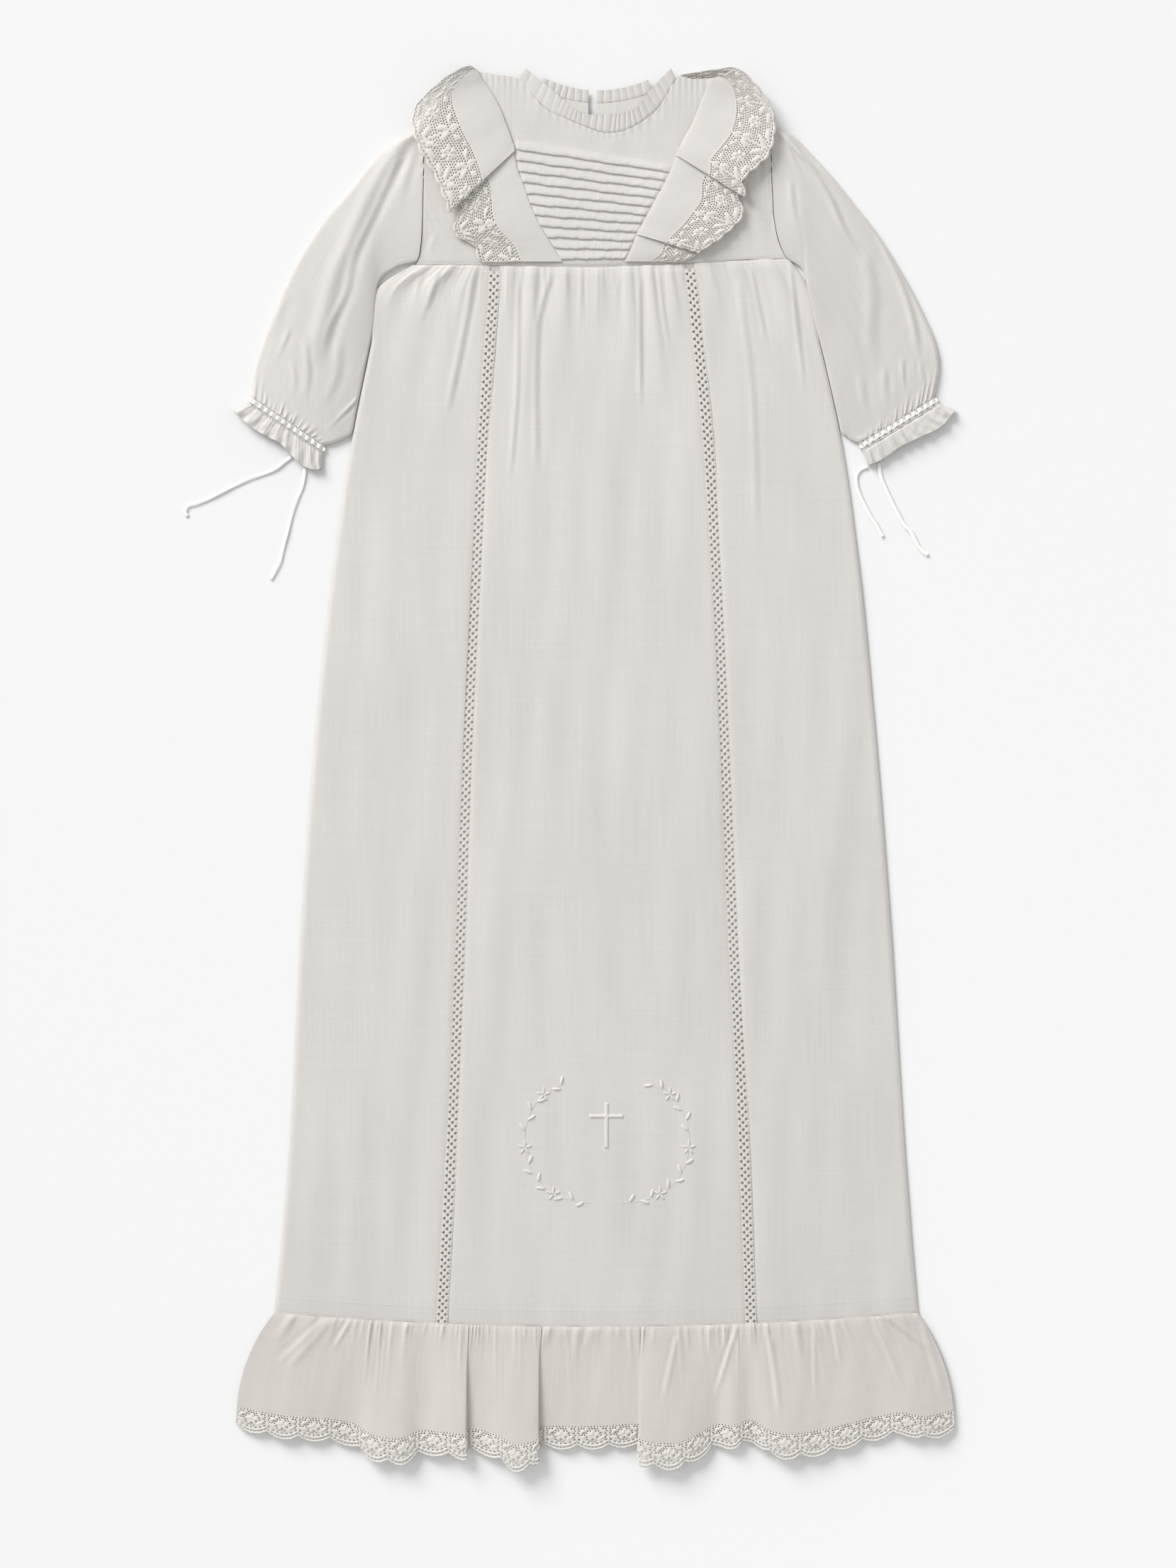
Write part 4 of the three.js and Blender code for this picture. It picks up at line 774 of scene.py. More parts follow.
def slanted_creases(x, y, lines):
    """Ridges with a hollow beside them, along lines that run down and to one side."""
    total = np.zeros(x.shape)
    for points, tall, wide in lines:
        start, end = np.array(points, float)
        way = (end - start) / np.linalg.norm(end - start)
        far = (x - start[0]) * way[0] + (y - start[1]) * way[1]
        off = ((x - start[0]) * way[1] - (y - start[1]) * way[0]) / wide
        length = np.linalg.norm(end - start)
        fade = ease(far / 6 + 0.6) * ease((length - far) / (0.5 * length))
        total += tall * fade * (np.exp(-off * off) - 0.6 * np.exp(-((off - 1.6) ** 2)))
    return total


def flounce(place, v):
    """The top of the flounce. Place 2.5 is halfway from rib 2 to rib 3, and v runs from the seam to the
    lace's edge."""
    rows = np.arange(len(RIBS["seam"]))
    seam, hem, foot, lift = (smooth(place, rows, RIBS[key]) for key in ("seam", "hem", "foot", "lift"))
    x = mix(seam, hem, 1 - (1 - np.clip(v, 0, 1)) ** SPREAD)
    y = mix(foot_at(seam), foot, v)
    height = FRONT_TOP + np.maximum(lift, 0.05) * ease(0.15 + 0.85 * v) - 0.6 * np.exp(-v / 0.02)
    height = height + 0.4 * (1 - ease(v * 2)) * (0.5 - 0.5 * np.cos(np.pi * place))
    for at, tall, wide, reach in zip(*pleats.values()):
        t = (place - at) / (wide * (0.7 + 0.8 * v / reach))
        height = height + tall * bump(t) * (1 - ease(v / reach)) * ease(0.3 + v / 0.04)
    height = height + slanted_creases(x, y, FLOUNCE_CREASES) + 0.4 * ripples(x, y, 9, (14, 40), (60, 200))
    return np.stack([x, y, np.maximum(height, BACK_TOP + 0.2)], axis=-1)


def flounce_run(place):
    """How far each place is along the flounce's lower edge, from its left end."""
    edge = flounce(place, np.full(place.shape, 0.9))
    return np.r_[0, np.cumsum(np.linalg.norm(np.diff(edge, axis=0), axis=1))]


# The flounce's finish is the skirt's lawn painted darker. This painted shade stands for the shadow among its
# gathers.
flounce_lawn_painted_shade = cotton("flounce_lawn_painted_shade", (217, 212, 206), (204, 199, 193))
places = np.linspace(0, len(RIBS["seam"]) - 1, 520)
run = flounce_run(places)
place, v = np.meshgrid(places, np.r_[np.linspace(0, 0.1, 8), np.linspace(0.12, LACE_FROM, 34)])
flounce_cloth = sew(
    "flounce_front_cloth", flounce(place, v),
    np.stack([np.tile(run, (len(v), 1)), -FLOUNCE_DEEP * v], axis=-1), flounce_lawn_painted_shade,
)
settle(flounce_cloth, "cloth", "flounce_front")

grid, flat = plan_sheet(
    lambda u, v: (
        mix(mix(-226, 227, u), mix(-252.5, 252, u), 1 - (1 - v) ** SPREAD),
        mix(foot_at(mix(-226, 227, u)), -474 + 13 * (mix(-252.5, 252, u) / 253) ** 2, v),
    ),
    lambda x, y: BACK_TOP - 0.1 + 0.1 * np.sin(x / 7),
    np.linspace(0, 1, 80), np.linspace(0, LACE_FROM, 16),
)
flounce_back = sew("flounce_back_cloth", grid, flat, flounce_lawn_painted_shade)
settle(flounce_back, "cloth", "flounce_back")

# Lace of the hem. Cotton lace nearly 20 mm deep, with a flower and four leaves in a ground of small holes in
# each scallop, and two raised cords with slots between them along the scalloped edge.
SCALLOP, LACE_DEEP = 22.0, 19.5
FLOWER_AT = (SCALLOP / 2, 11.2)
HEM_GROUND = 1.9  # from hole to hole in the ground
CORD_ROWS = (0.75, 3.5)  # height of each cord's middle above the scalloped edge


def scallop_edge(x):
    scallop = 4.6 * (1 - np.abs(np.sin(np.pi * x / SCALLOP)) ** 0.75)
    return scallop + 0.3 * np.abs(np.sin(np.pi * x * 9 / SCALLOP))


def hem_petals():
    """Centre, half length, half width and turn of each petal and leaf of the hem lace's flower."""
    x0, y0 = FLOWER_AT
    for k in range(5):
        turn = 2 * math.pi * (k + 0.25) / 5
        yield x0 + 2.5 * math.cos(turn), y0 + 2.3 * math.sin(turn), 1.9, 1.2, turn
    for way in (-1, 1):
        yield x0 + way * 6.6, y0 - 1.2, 2.6, 1.0, way * 0.5
        yield x0 + way * 6.4, y0 + 3.6, 2.4, 0.95, -way * 0.7


def stitched(x, y, shapes):
    """How far a place is inside the nearest petal or leaf: 1 in its middle, 0 at its edge, less outside."""
    best = np.full(np.shape(x), -9.0)
    for px, py, long, wide, turn in shapes:
        a = ((x - px) * math.cos(turn) + (y - py) * math.sin(turn)) / long
        b = ((y - py) * math.cos(turn) - (x - px) * math.sin(turn)) / wide
        best = np.maximum(best, 1 - a * a - b * b)
    return best


def hem_tile():
    xs = np.linspace(0, SCALLOP, 47)
    sides = np.linspace(scallop_edge(0), LACE_DEEP, 9)[1:-1]
    outline = np.concatenate([
        np.c_[xs, scallop_edge(xs)], np.c_[np.full(7, SCALLOP), sides],
        np.c_[xs[::-2], np.full(24, LACE_DEEP)], np.c_[np.zeros(7), sides[::-1]],
    ])
    shapes = list(hem_petals())
    holes = [oval(x, LACE_DEEP - 1.2, 0.5, 0.45, 6) for x in np.arange(1.1, SCALLOP, 2.2)]
    for row, y in enumerate(np.arange(LACE_DEEP - 2.9, 6.0, -0.85 * HEM_GROUND)):
        for x in np.arange(HEM_GROUND * (0.9 if row % 2 else 0.55), SCALLOP - 0.8, HEM_GROUND):
            if y > scallop_edge(x) + 6.4 and stitched(x, y, shapes) < -0.5:
                holes.append(oval(x, y, 0.6, 0.56, 6))
    for count, up, long, wide in ((9, 2.15, 0.85, 0.5), (7, 4.95, 1.0, 0.55)):
        for t in (np.arange(count) + 0.5) / count:
            lean = math.atan2(scallop_edge(t * SCALLOP + 0.8) - scallop_edge(t * SCALLOP - 0.8), 1.6)
            holes.append(oval(t * SCALLOP, scallop_edge(t * SCALLOP) + up, long, wide, 8, lean))

    def raised(x, y):
        flower = 0.5 * np.sqrt(np.clip(stitched(x, y, shapes), 0, 1))
        return flower + sum(0.5 * (np.abs(y - scallop_edge(x) - up) < 0.5) for up in CORD_ROWS)

    return pierced(
        "hem_tile", outline, holes, grain=0.7, raised=raised,
        joints=lambda x, y: (np.abs(x) < 0.01) | (np.abs(x - SCALLOP) < 0.01),
    )


tile = hem_tile()
lace_places = np.linspace(0, len(RIBS["seam"]) - 1, 900)
run = flounce_run(lace_places)
count = round(run[-1] / SCALLOP)
place, v = np.meshgrid(lace_places, np.linspace(LACE_FROM - 0.03, 1.03, 14))
flat = np.stack([np.tile(run * count * SCALLOP / run[-1], (len(v), 1)), (1 - v) * FLOUNCE_DEEP], axis=-1)
grid = flounce(place, v)
grid[..., 2] -= 0.35
cloth = template(grid, flat)
hem_lace = lay("hem_lace_front_openwork", tile, [(k * SCALLOP, 0) for k in range(count)], cloth, lace_cotton)
settle(hem_lace, "lace", "hem_lace_front")
put_away(cloth)

u, v = np.meshgrid(np.linspace(0, 1, 160), np.linspace(LACE_FROM - 0.03, 1.03, 6))
hem_x = mix(-252.5, 252, u)
grid = np.stack([hem_x, mix(foot_at(mix(-226, 227, u)), -474 + 13 * (hem_x / 253) ** 2, v),
                 0.55 + 0.1 * np.sin(hem_x / 7)], axis=-1)
count = 22
cloth = template(grid, np.stack([u * count * SCALLOP, (1 - v) * FLOUNCE_DEEP], axis=-1))
back_lace = lay("hem_lace_back_openwork", tile, [(k * SCALLOP, 0) for k in range(count)], cloth, lace_cotton)
settle(back_lace, "lace", "hem_lace_back")
put_away(cloth, tile)

# Back of the yoke. Two plain lawn panels that meet at a short opening below the neck, with one pearl-white
# button at its left edge. Both lie flat, and only the strip above the front's neckline is seen.
SEAM_LEFT = table("y x", [
    (356.6, -23), (370, -30.5), (385, -40), (403, -48), (418, -53.5), (433, -56.5), (445, -57.5), (460, -63),
    (475, -73), (492, -82.5),
])
SEAM_RIGHT = table("y x", [
    (356.6, 20), (368, 25), (383, 32.5), (398, 40), (415, 50), (432, 57), (448, 67.5), (468, 77), (487, 80),
])
ARMHOLES = table("y left right", [
    (356, -126.6, 136), (361, -124.6, 134), (372, -122.8, 129.4), (385, -122, 126.4), (405, -121.5, 124.8),
    (429, -121, 124), (458, -121, 124),
])
NECK = table("x y freeX freeY", [
    (-55, 487, -50, 495), (-36, 466.5, -31, 479.5), (-22, 459.5, -18.5, 468.5), (-9, 454, -8, 462.5),
    (6.5, 449, 8, 461.5), (20, 450.5, 20, 463), (33, 457, 29.5, 467), (45, 467.5, 38.5, 479),
    (57, 487, 53.5, 494),
])
BACK_NECK_LOW, BACK_NECK_RISE, BACK_NECK_MIDDLE, BACK_NECK_HALF = 470, 17, 2, 57
SLIT_LEFT, SLIT_RIGHT, SLIT_FOOT = -5, 0.8, 400
RISE_FROM, RISE_OVER = 357, 45  # the yoke climbs onto the back shoulder flounces
SHOULDER_END = 458
BUTTON_X, BUTTON_Y = -11, 461


def rise(y):
    return LAYER * ease((y - RISE_FROM) / RISE_OVER)


def back_neck(x):
    return BACK_NECK_LOW + BACK_NECK_RISE * ((x - BACK_NECK_MIDDLE) / BACK_NECK_HALF) ** 2


def waist_at(x):
    return np.interp(x, WAIST["x"], WAIST["y"])


def arm_at(side, y):
    return smooth(y, ARMHOLES["y"], ARMHOLES[side])


for side, way, shoulder, slit in (
    ("left", -1, [(-121, 458), (-100, 474), (-82.5, 488), (-55, 486.4)], SLIT_LEFT),
    ("right", 1, [(124, 458), (104, 472), (82, 484), (59, 486.6)], SLIT_RIGHT),
):
    i, w = np.meshgrid(np.linspace(0, 1, 50), np.linspace(0, 1, 40))
    top_x = mix(shoulder[0][0], slit, i)
    shoulder_x, shoulder_y = np.array(shoulder, float).T
    on_shoulder = np.interp(way * -top_x, way * -shoulder_x, shoulder_y)
    top_y = np.where(way * top_x > way * shoulder_x[-1], on_shoulder, back_neck(top_x))
    y = mix(SKIRT_TOP, top_y, w)
    opening = mix(-2, slit, ease((y - SLIT_FOOT) / 70))
    x = mix(mix(arm_at(side, np.minimum(y, SHOULDER_END)), opening, i), top_x, ease(w * 1.6 - 0.6))
    grid = np.stack([x, np.where(w == 0, waist_at(x), y), BACK_TOP - 0.1 + rise(y)], axis=-1)
    grid[..., 2] += 0.25 * ripples(x, y, 17, (12, 30), (30, 90))
    back = sew("yoke_back_" + side + "_cloth", grid, grid[..., :2], lawn_cloth)
    settle(back, "cloth", "yoke_back_" + side)


def pearl():
    """Pearl-white button, of glossy resin with faint clouds of cream in it."""
    finish = Finish("pearl", Roughness=0.22, Coat_Weight=0.4, Coat_Roughness=0.1)
    clouds = finish.noise((260, 260, 260), detail=4, along_cloth=False)
    pearly = finish.blend(clouds, colour(226, 221, 212), colour(245, 243, 238))
    finish.feed(finish.shader.inputs["Base Color"], pearly)
    return finish.material


def button():
    """A turned button: a raised rim round a dished middle, with one hole through its centre."""
    profile = [
        (0.9, 0.0), (4.2, 0.0), (4.9, 0.3), (5.0, 0.8), (4.6, 1.25), (3.9, 1.3), (3.4, 1.0), (2.4, 0.85),
        (0.9, 0.8),
    ]
    turns = np.linspace(0, 2 * np.pi, 48, endpoint=False)
    rings = [[(r * np.cos(a), r * np.sin(a), z) for a in turns] for r, z in profile]
    points = np.array(rings).reshape(-1, 3) + (BUTTON_X, BUTTON_Y, 0)
    count = len(turns)
    faces = []
    for ring in range(len(profile)):
        after = (ring + 1) % len(profile)
        for k in range(count):
            n = (k + 1) % count
            faces.append((ring * count + k, ring * count + n, after * count + n, after * count + k))
    return points, faces


points, faces = button()
back_button = make_piece("back_button_pearl", points * MM, faces, points[:, :2] * MM, pearl())
settle(back_button, "button", "back_button")

# Front of the yoke. The middle panel has eleven tucks, each a narrow fold stitched down along its top and
# turned towards the hem, closer together at the right. A plain panel fills each side out to the armhole.
TUCKS, TUCK_DEEP = 11, 1.35
TUCK_LEFT, TUCK_LEFT_STEP, TUCK_RIGHT, TUCK_RIGHT_STEP = 445, 7.75, 427, 6.05
TUCK_HEADROOM = 5
# One tuck from its stitching to its fold and back under it: shares of its step, and of its height
TUCK_SHAPE = [
    (0.0, 0.03), (0.1, 0.1), (0.24, 0.28), (0.4, 0.52), (0.58, 0.77), (0.74, 0.94), (0.86, 1.0), (0.95, 0.93),
    (1.0, 0.72), (0.99, 0.42), (0.95, 0.18),
]


def seam_x(side, y):
    rows = SEAM_LEFT if side == "left" else SEAM_RIGHT
    return smooth(y, rows["y"], rows["x"])


def neck_top(x):
    """Height of the middle panel's upper edge: along each shoulder, and down round the neck."""
    xs = np.r_[-82.5, -68.8, NECK["x"], 68.5, 80]
    ys = np.r_[492, 489.5, NECK["y"], 487, 487]
    return smooth(x, xs, ys)


def yoke_line(left, right, share):
    a, b = seam_x("left", left), seam_x("right", right)
    return mix(a, b, share), mix(left, right, share)


def tucked_yoke():
    share = np.linspace(0, 1, 170)
    rows = []
    top_left, top_right = TUCK_LEFT + TUCK_HEADROOM, TUCK_RIGHT + TUCK_HEADROOM
    x0, y0 = yoke_line(top_left, top_right, share)
    neck_x = mix(SEAM_LEFT["x"][-1], SEAM_RIGHT["x"][-1], share)
    for w in 1 - np.linspace(0, 1, 34) ** 1.2:
        bows = []
        for side, tip, start in (("left", SEAM_LEFT, top_left), ("right", SEAM_RIGHT, top_right)):
            y = mix(start, tip["y"][-1], w)
            bows.append(seam_x(side, y) - mix(seam_x(side, start), tip["x"][-1], w))
        x = mix(x0, neck_x, w) + bows[0] * (1 - share) ** 3 + bows[1] * share**3
        y = mix(y0, neck_top(neck_x), w)
        pucker = 0.3 * np.sin(x * 1.25 + 3 * np.sin(x / 11)) * np.exp((w - 1) * 4.5)
        rows.append(np.stack([x, y, pucker + 0.45 * ripples(x, y, 5, (20, 60), (40, 120))], axis=-1))
    draw = np.random.default_rng(31)
    for k in range(TUCKS):
        sway = draw.uniform(0, 2 * np.pi, 4)
        turns = share * 2 * np.pi
        waves = zip((2.3, 5.1, 9.7, 15.3), sway, (4, 3, 2, 1.2))
        wander = sum(np.sin(turns * f + p) * a for f, p, a in waves)
        swell = 1 + 0.03 * sum(np.sin(turns * f + p) for f, p in zip((3.1, 7.3, 12.9, 21.7), sway[::-1] * 2))
        ends = ease(share / 0.03) * ease((1 - share) / 0.03)
        for step, tall in TUCK_SHAPE:
            q = k + step + 0.011 * wander * tall
            x, y = yoke_line(TUCK_LEFT - TUCK_LEFT_STEP * q, TUCK_RIGHT - TUCK_RIGHT_STEP * q, share)
            rows.append(np.stack([x, y, TUCK_DEEP * tall * swell * (0.35 + 0.65 * ends)], axis=-1))
    for w in np.linspace(0, 1, 8):
        low = SKIRT_TOP + 0.2
        left = mix(TUCK_LEFT - TUCK_LEFT_STEP * TUCKS, low, w)
        right = mix(TUCK_RIGHT - TUCK_RIGHT_STEP * TUCKS, low, w)
        x, y = yoke_line(left, right, share)
        y = y + w * (waist_at(x) - SKIRT_TOP)
        rows.append(np.stack([x, y, np.full(len(x), -0.8 * ease(w * 2 - 1))], axis=-1))
    grid = np.stack(rows)
    grid[..., 2] += FRONT_TOP + rise(grid[..., 1])
    return grid


yoke_grid = tucked_yoke()
yoke = sew("yoke_front_centre_tucked", yoke_grid, yoke_grid[..., :2] * (1, 1.3), lawn_cloth)
settle(yoke, "cloth", "yoke_front_centre")

SIDE_CREASES = {
    "left": [([(-118, 398), (-108, 380)], 0.6, 1.2), ([(-119, 388), (-112, 372)], 0.6, 1.0),
             ([(-114, 376), (-118, 364)], 0.7, 1.4), ([(-100, 378), (-101, 361)], 0.5, 1.0)],
    "right": [([(118, 440), (121, 400)], 0.7, 1.4), ([(108, 412), (118, 378)], 0.5, 1.6),
              ([(122, 398), (130, 372)], 0.6, 1.2)],
}
side_grids = {}
for side, way in (("left", -1), ("right", 1)):
    tip = SEAM_LEFT if side == "left" else SEAM_RIGHT
    u, w = np.meshgrid(np.linspace(0, 1, 44), np.linspace(0, 1, 74))
    y = mix(SKIRT_TOP, tip["y"][-1], w)
    shoulder = (y - SHOULDER_END) / (tip["y"][-1] + 2 - SHOULDER_END)
    armhole = arm_at(side, np.minimum(y, SHOULDER_END))
    outer = np.where(y < SHOULDER_END, armhole, mix(armhole, tip["x"][-1], shoulder))
    x = mix(seam_x(side, y) - way * 0.4, outer - way * 0.2, u)
    low = np.exp(-(y - SKIRT_TOP) / 3)
    height = FRONT_TOP + rise(y) - 0.8 * low + 0.3 * ripples(x, y, 29, (14, 40), (40, 120))
    height += slanted_creases(x, y, SIDE_CREASES[side])
    height += 0.12 * np.sin(x * 1.4) * np.exp(-(y - SKIRT_TOP) / 9)
    grid = np.stack([x, y + low * (waist_at(x) - SKIRT_TOP + 0.2), height], axis=-1)
    side_front = sew("yoke_front_" + side + "_cloth", grid, grid[..., :2], lawn_cloth)
    side_grids[side] = grid
    settle(side_front, "cloth", "yoke_front_" + side)

# Shoulder flounces. Each is a strip of lawn with wide cotton lace, gathered into a seam of the yoke's middle
# panel and spread over the shoulder. Where it has too much length, it has folded over onto itself.
SHOULDER_LEFT = table("x y edgeX edgeY lift", [
    (-23.5, 358.2, -83, 358, 0), (-31, 370, -86.5, 369, 0.6), (-40, 385, -97.5, 375, 1.2),
    (-46, 398, -100.5, 381, 1.4), (-50, 410, -98, 389, 1), (-54, 420, -95, 396, 0.8),
    (-57, 432, -97.5, 400, 0.6),
    (-58.3, 440, -101, 402.5, 0.7), (-58, 441, -102.6, 401, 1.6), (-57.2, 437.5, -103.5, 394.5, 3.2),
    (-57, 435.6, -103, 391.6, 4.4), (-57.4, 437, -104, 393, 5.2), (-58.5, 442, -106.4, 400, 5.4),
    (-60, 447, -110, 409, 5), (-63, 455, -115, 420, 4.6), (-66, 463, -124, 435, 5), (-70, 471, -129, 450, 4),
    (-74, 478, -129.5, 460, 3.4), (-78, 484, -125, 470, 3.5), (-80.5, 488, -110, 484, 3.6),
    (-82, 491, -97, 492.5, 2.6), (-82.5, 492.5, -88, 496, 1.5),
])
SHOULDER_RIGHT = table("x y edgeX edgeY lift", [
    (20.5, 358.2, 60, 358, 0), (24, 365, 70, 361, 0.5), (27, 372, 71.5, 363.2, 0.6),
    (30, 379, 74, 366.5, 0.6),
    (30.6, 381, 75.5, 367.6, 1.4), (29.6, 378.5, 74.4, 364.6, 2.8), (29.2, 377, 73.6, 363.6, 3.6),
    (30.4, 379, 75, 364.6, 4.3), (32.4, 383.4, 77.4, 366.2, 4.6), (34.6, 387.5, 83, 369.6, 4.6),
    (37, 392, 90, 374.5, 4.2), (43.5, 404, 101, 384.5, 3.4), (47, 410, 105, 391, 3), (50, 416, 103, 399, 2.6),
    (52.5, 421, 100.6, 404, 2.4), (55.4, 429, 102.5, 408, 2.3), (58, 437, 105, 412, 2.4),
    (58.4, 438.5, 106, 412.5, 3.4), (57.2, 435, 106.2, 405.5, 5), (56.6, 432.6, 106, 401.8, 6.2),
    (57.4, 434.4, 106.4, 403, 7.2), (58.6, 437.4, 105.6, 407, 7.4), (61, 442.4, 104, 412.8, 7.6),
    (64, 448, 108, 418, 7), (67.5, 454, 115, 424, 6.5), (70, 460, 122, 431, 6.6), (72, 465, 126, 442, 6),
    (74, 470, 127, 454, 5), (76, 475, 124.5, 465, 4.6), (78, 480, 118, 477, 4.6), (79, 484, 108, 486, 4),
    (80, 487, 97, 489, 2),
])
BACK_LEFT = table("x y edgeX edgeY", [
    (-60, 405, -84, 404), (-62, 425, -102, 423), (-65, 445, -114, 445), (-68, 462, -117, 462),
    (-71, 473, -108, 475), (-74, 478, -92, 485),
])
BACK_RIGHT = table("x y edgeX edgeY", [
    (60, 405, 84, 404), (62, 425, 104, 423), (66, 445, 116, 447), (70, 460, 119, 466), (73, 468, 118, 477),
    (74, 474, 110, 488), (73, 479, 100, 495.5), (69, 482, 86, 494.5), (63, 484, 60, 490.5),
])
LACE_START = 0.45  # share of the flounce's width at which its lace starts
WIDE_LACE = 34.0
WIDE_STEP = 30.0
# The lace's pattern: centre, half length, half width and turn of each petal and leaf
LEAVES = [
    (4.5, 9.5, 3.6, 1.5, 0.9), (9.5, 5.6, 3.4, 1.4, 0.2), (20.5, 5.6, 3.4, 1.4, -0.2),
    (25.5, 9.5, 3.6, 1.5, -0.9),
    (3.0, 20.5, 3.2, 1.5, 2.1), (27.0, 20.5, 3.2, 1.5, 1.0), (8.2, 27.5, 3.0, 1.3, 0.5),
    (21.8, 27.5, 3.0, 1.3, -0.5),
]
BLOSSOMS = [(15.0, 16.5, 4.6, 6), (0.0, 27.5, 2.6, 5), (30.0, 27.5, 2.6, 5), (15.0, 29.0, 1.9, 5)]
MESH_STEP = 2.05


def spoke(rows, place, v):
    """A place on a shoulder flounce, along its spoke from the seam at v = 0 to its free edge at v = 1."""
    at = np.arange(len(rows["x"]))
    x, y, edge_x, edge_y = (smooth(place, at, rows[key]) for key in ("x", "y", "edgeX", "edgeY"))
    return mix(x, edge_x, v), mix(y, edge_y, v)


def shoulder_flounce(rows, place, v):
    x, y = spoke(rows, place, v)
    lift = np.maximum(smooth(place, np.arange(len(rows["x"])), rows["lift"]), 0)
    raised = lift * mix(0.12, 1, np.clip(v, 0, 1) ** 0.8)
    height = FRONT_TOP + 1.3 + rise(y) + raised - 0.5 * np.exp(-v / 0.03)
    height = height + 0.35 * ripples(x, y, 41, (9, 26), (14, 50)) * ease(v * 3)
    return np.stack([x, y, height], axis=-1)


def petals():
    for x, y, reach, count in BLOSSOMS:
        for k in range(count):
            turn = 2 * math.pi * (k + 0.5) / count
            out = reach * 0.62
            yield x + out * math.cos(turn), y + out * math.sin(turn), reach * 0.46, reach * 0.3, turn
    yield from LEAVES


def wide_edge(x):
    return 1.7 * (1 - np.abs(np.sin(np.pi * x * 3 / WIDE_STEP)) ** 0.8)


def wide_tile():
    xs = np.linspace(0, WIDE_STEP, 61)
    sides = np.linspace(0, WIDE_LACE, 14)[1:-1] + wide_edge(0)
    sides = sides[sides < WIDE_LACE - 1]
    outline = np.concatenate([
        np.c_[xs, wide_edge(xs)], np.c_[np.full(len(sides), WIDE_STEP), sides],
        np.c_[xs[::-3], np.full(21, WIDE_LACE)], np.c_[np.zeros(len(sides)), sides[::-1]],
    ])
    shapes = list(petals())
    holes = []
    for row, y in enumerate(np.arange(4.9, WIDE_LACE - 1, MESH_STEP * 0.87)):
        for x in np.arange(MESH_STEP * (0.75 if row % 2 else 1.1), WIDE_STEP - 0.8, MESH_STEP):
            if stitched(x, y, shapes) < -0.55:
                holes.append(oval(x, y, 0.58, 0.54, 6))
    for x in np.arange(1.25, WIDE_STEP, 2.5):
        holes.append(oval(x, 3.3 + 0.4 * wide_edge(x) - 0.5, 0.8, 0.5, 7))
    for x, y, reach, count in BLOSSOMS:
        if 1 < x < WIDE_STEP - 1:
            holes += [oval(x + 0.5 * reach * math.cos(t), y + 0.5 * reach * math.sin(t), 0.34, 0.24, 6, t)
                      for t in np.arange(count) * 2 * math.pi / count if reach > 3]
    ribs = lambda x, y: 0.1 * np.sin((x + y) * 6)
    rim = lambda x, y: 0.4 * (np.abs(y - wide_edge(x) - 1.3) < 0.45)
    return pierced(
        "wide_tile", outline, holes, grain=0.7,
        joints=lambda x, y: (np.abs(x) < 0.01) | (np.abs(x - WIDE_STEP) < 0.01),
        raised=lambda x, y: (0.5 + ribs(x, y)) * np.sqrt(np.clip(stitched(x, y, shapes), 0, 1)) + rim(x, y),
    )


def run_along(edge):
    return np.r_[0, np.cumsum(np.linalg.norm(np.diff(edge, axis=0), axis=1))]


wide = wide_tile()
for side, rows in (("left", SHOULDER_LEFT), ("right", SHOULDER_RIGHT)):
    places = np.linspace(0, len(rows["x"]) - 1, 300)
    run = run_along(shoulder_flounce(rows, places, np.full(300, 0.72)))
    place, v = np.meshgrid(places, np.linspace(0.0, LACE_START + 0.01, 22))
    flat = np.stack([np.tile(run, (22, 1)), -62 * v], axis=-1)
    if side == "left":
        flat[..., 0] *= -1
    flounce_top = sew("bertha_" + side + "_cloth", shoulder_flounce(rows, place, v), flat, lawn_cloth)
    settle(flounce_top, "cloth", "bertha_" + side)
    count = round(run[-1] / WIDE_STEP)
    place, v = np.meshgrid(places, np.linspace(LACE_START - 0.03, 1.02, 40))
    along = run * count * WIDE_STEP / run[-1]
    if side == "left":
        along = along[-1] - along
    flat = np.stack([np.tile(along, (40, 1)), (1 - v) * WIDE_LACE / (1 - LACE_START)], axis=-1)
    cloth = template(shoulder_flounce(rows, place, v) - (0, 0, 0.4), flat)
    places = [(k * WIDE_STEP, 0) for k in range(count)]
    lace = lay("bertha_lace_" + side + "_openwork", wide, places, cloth, lace_cotton)
    settle(lace, "lace", "bertha_lace_" + side)
    put_away(cloth)

for side, rows in (("left", BACK_LEFT), ("right", BACK_RIGHT)):
    places = np.linspace(0, len(rows["x"]) - 1, 80)
    place, v = np.meshgrid(places, np.linspace(0, LACE_START + 0.01, 10))
    x, y = spoke(rows, place, v)
    grid = np.stack([x, y, 0.9 + 0.1 * np.sin(x / 3)], axis=-1)
    back = sew("bertha_back_" + side + "_cloth", grid, grid[..., :2], lawn_cloth)
    settle(back, "cloth", "bertha_back_" + side)
    run = run_along(np.stack(spoke(rows, places, np.full(80, 0.75)), axis=-1))
    count = max(2, round(run[-1] / WIDE_STEP))
    place, v = np.meshgrid(places, np.linspace(LACE_START - 0.03, 1.02, 16))
    x, y = spoke(rows, place, v)
    along = run * count * WIDE_STEP / run[-1]
    if side == "left":
        along = along[-1] - along
    flat = np.stack([np.tile(along, (16, 1)), (1 - v) * WIDE_LACE / (1 - LACE_START)], axis=-1)
    cloth = template(np.stack([x, y, np.full(x.shape, 0.4)], axis=-1), flat)
    places = [(k * WIDE_STEP, 0) for k in range(count)]
    lace = lay("bertha_lace_back_" + side + "_openwork", wide, places, cloth, lace_cotton)
    settle(lace, "lace", "bertha_lace_back_" + side)
    put_away(cloth)
put_away(wide)

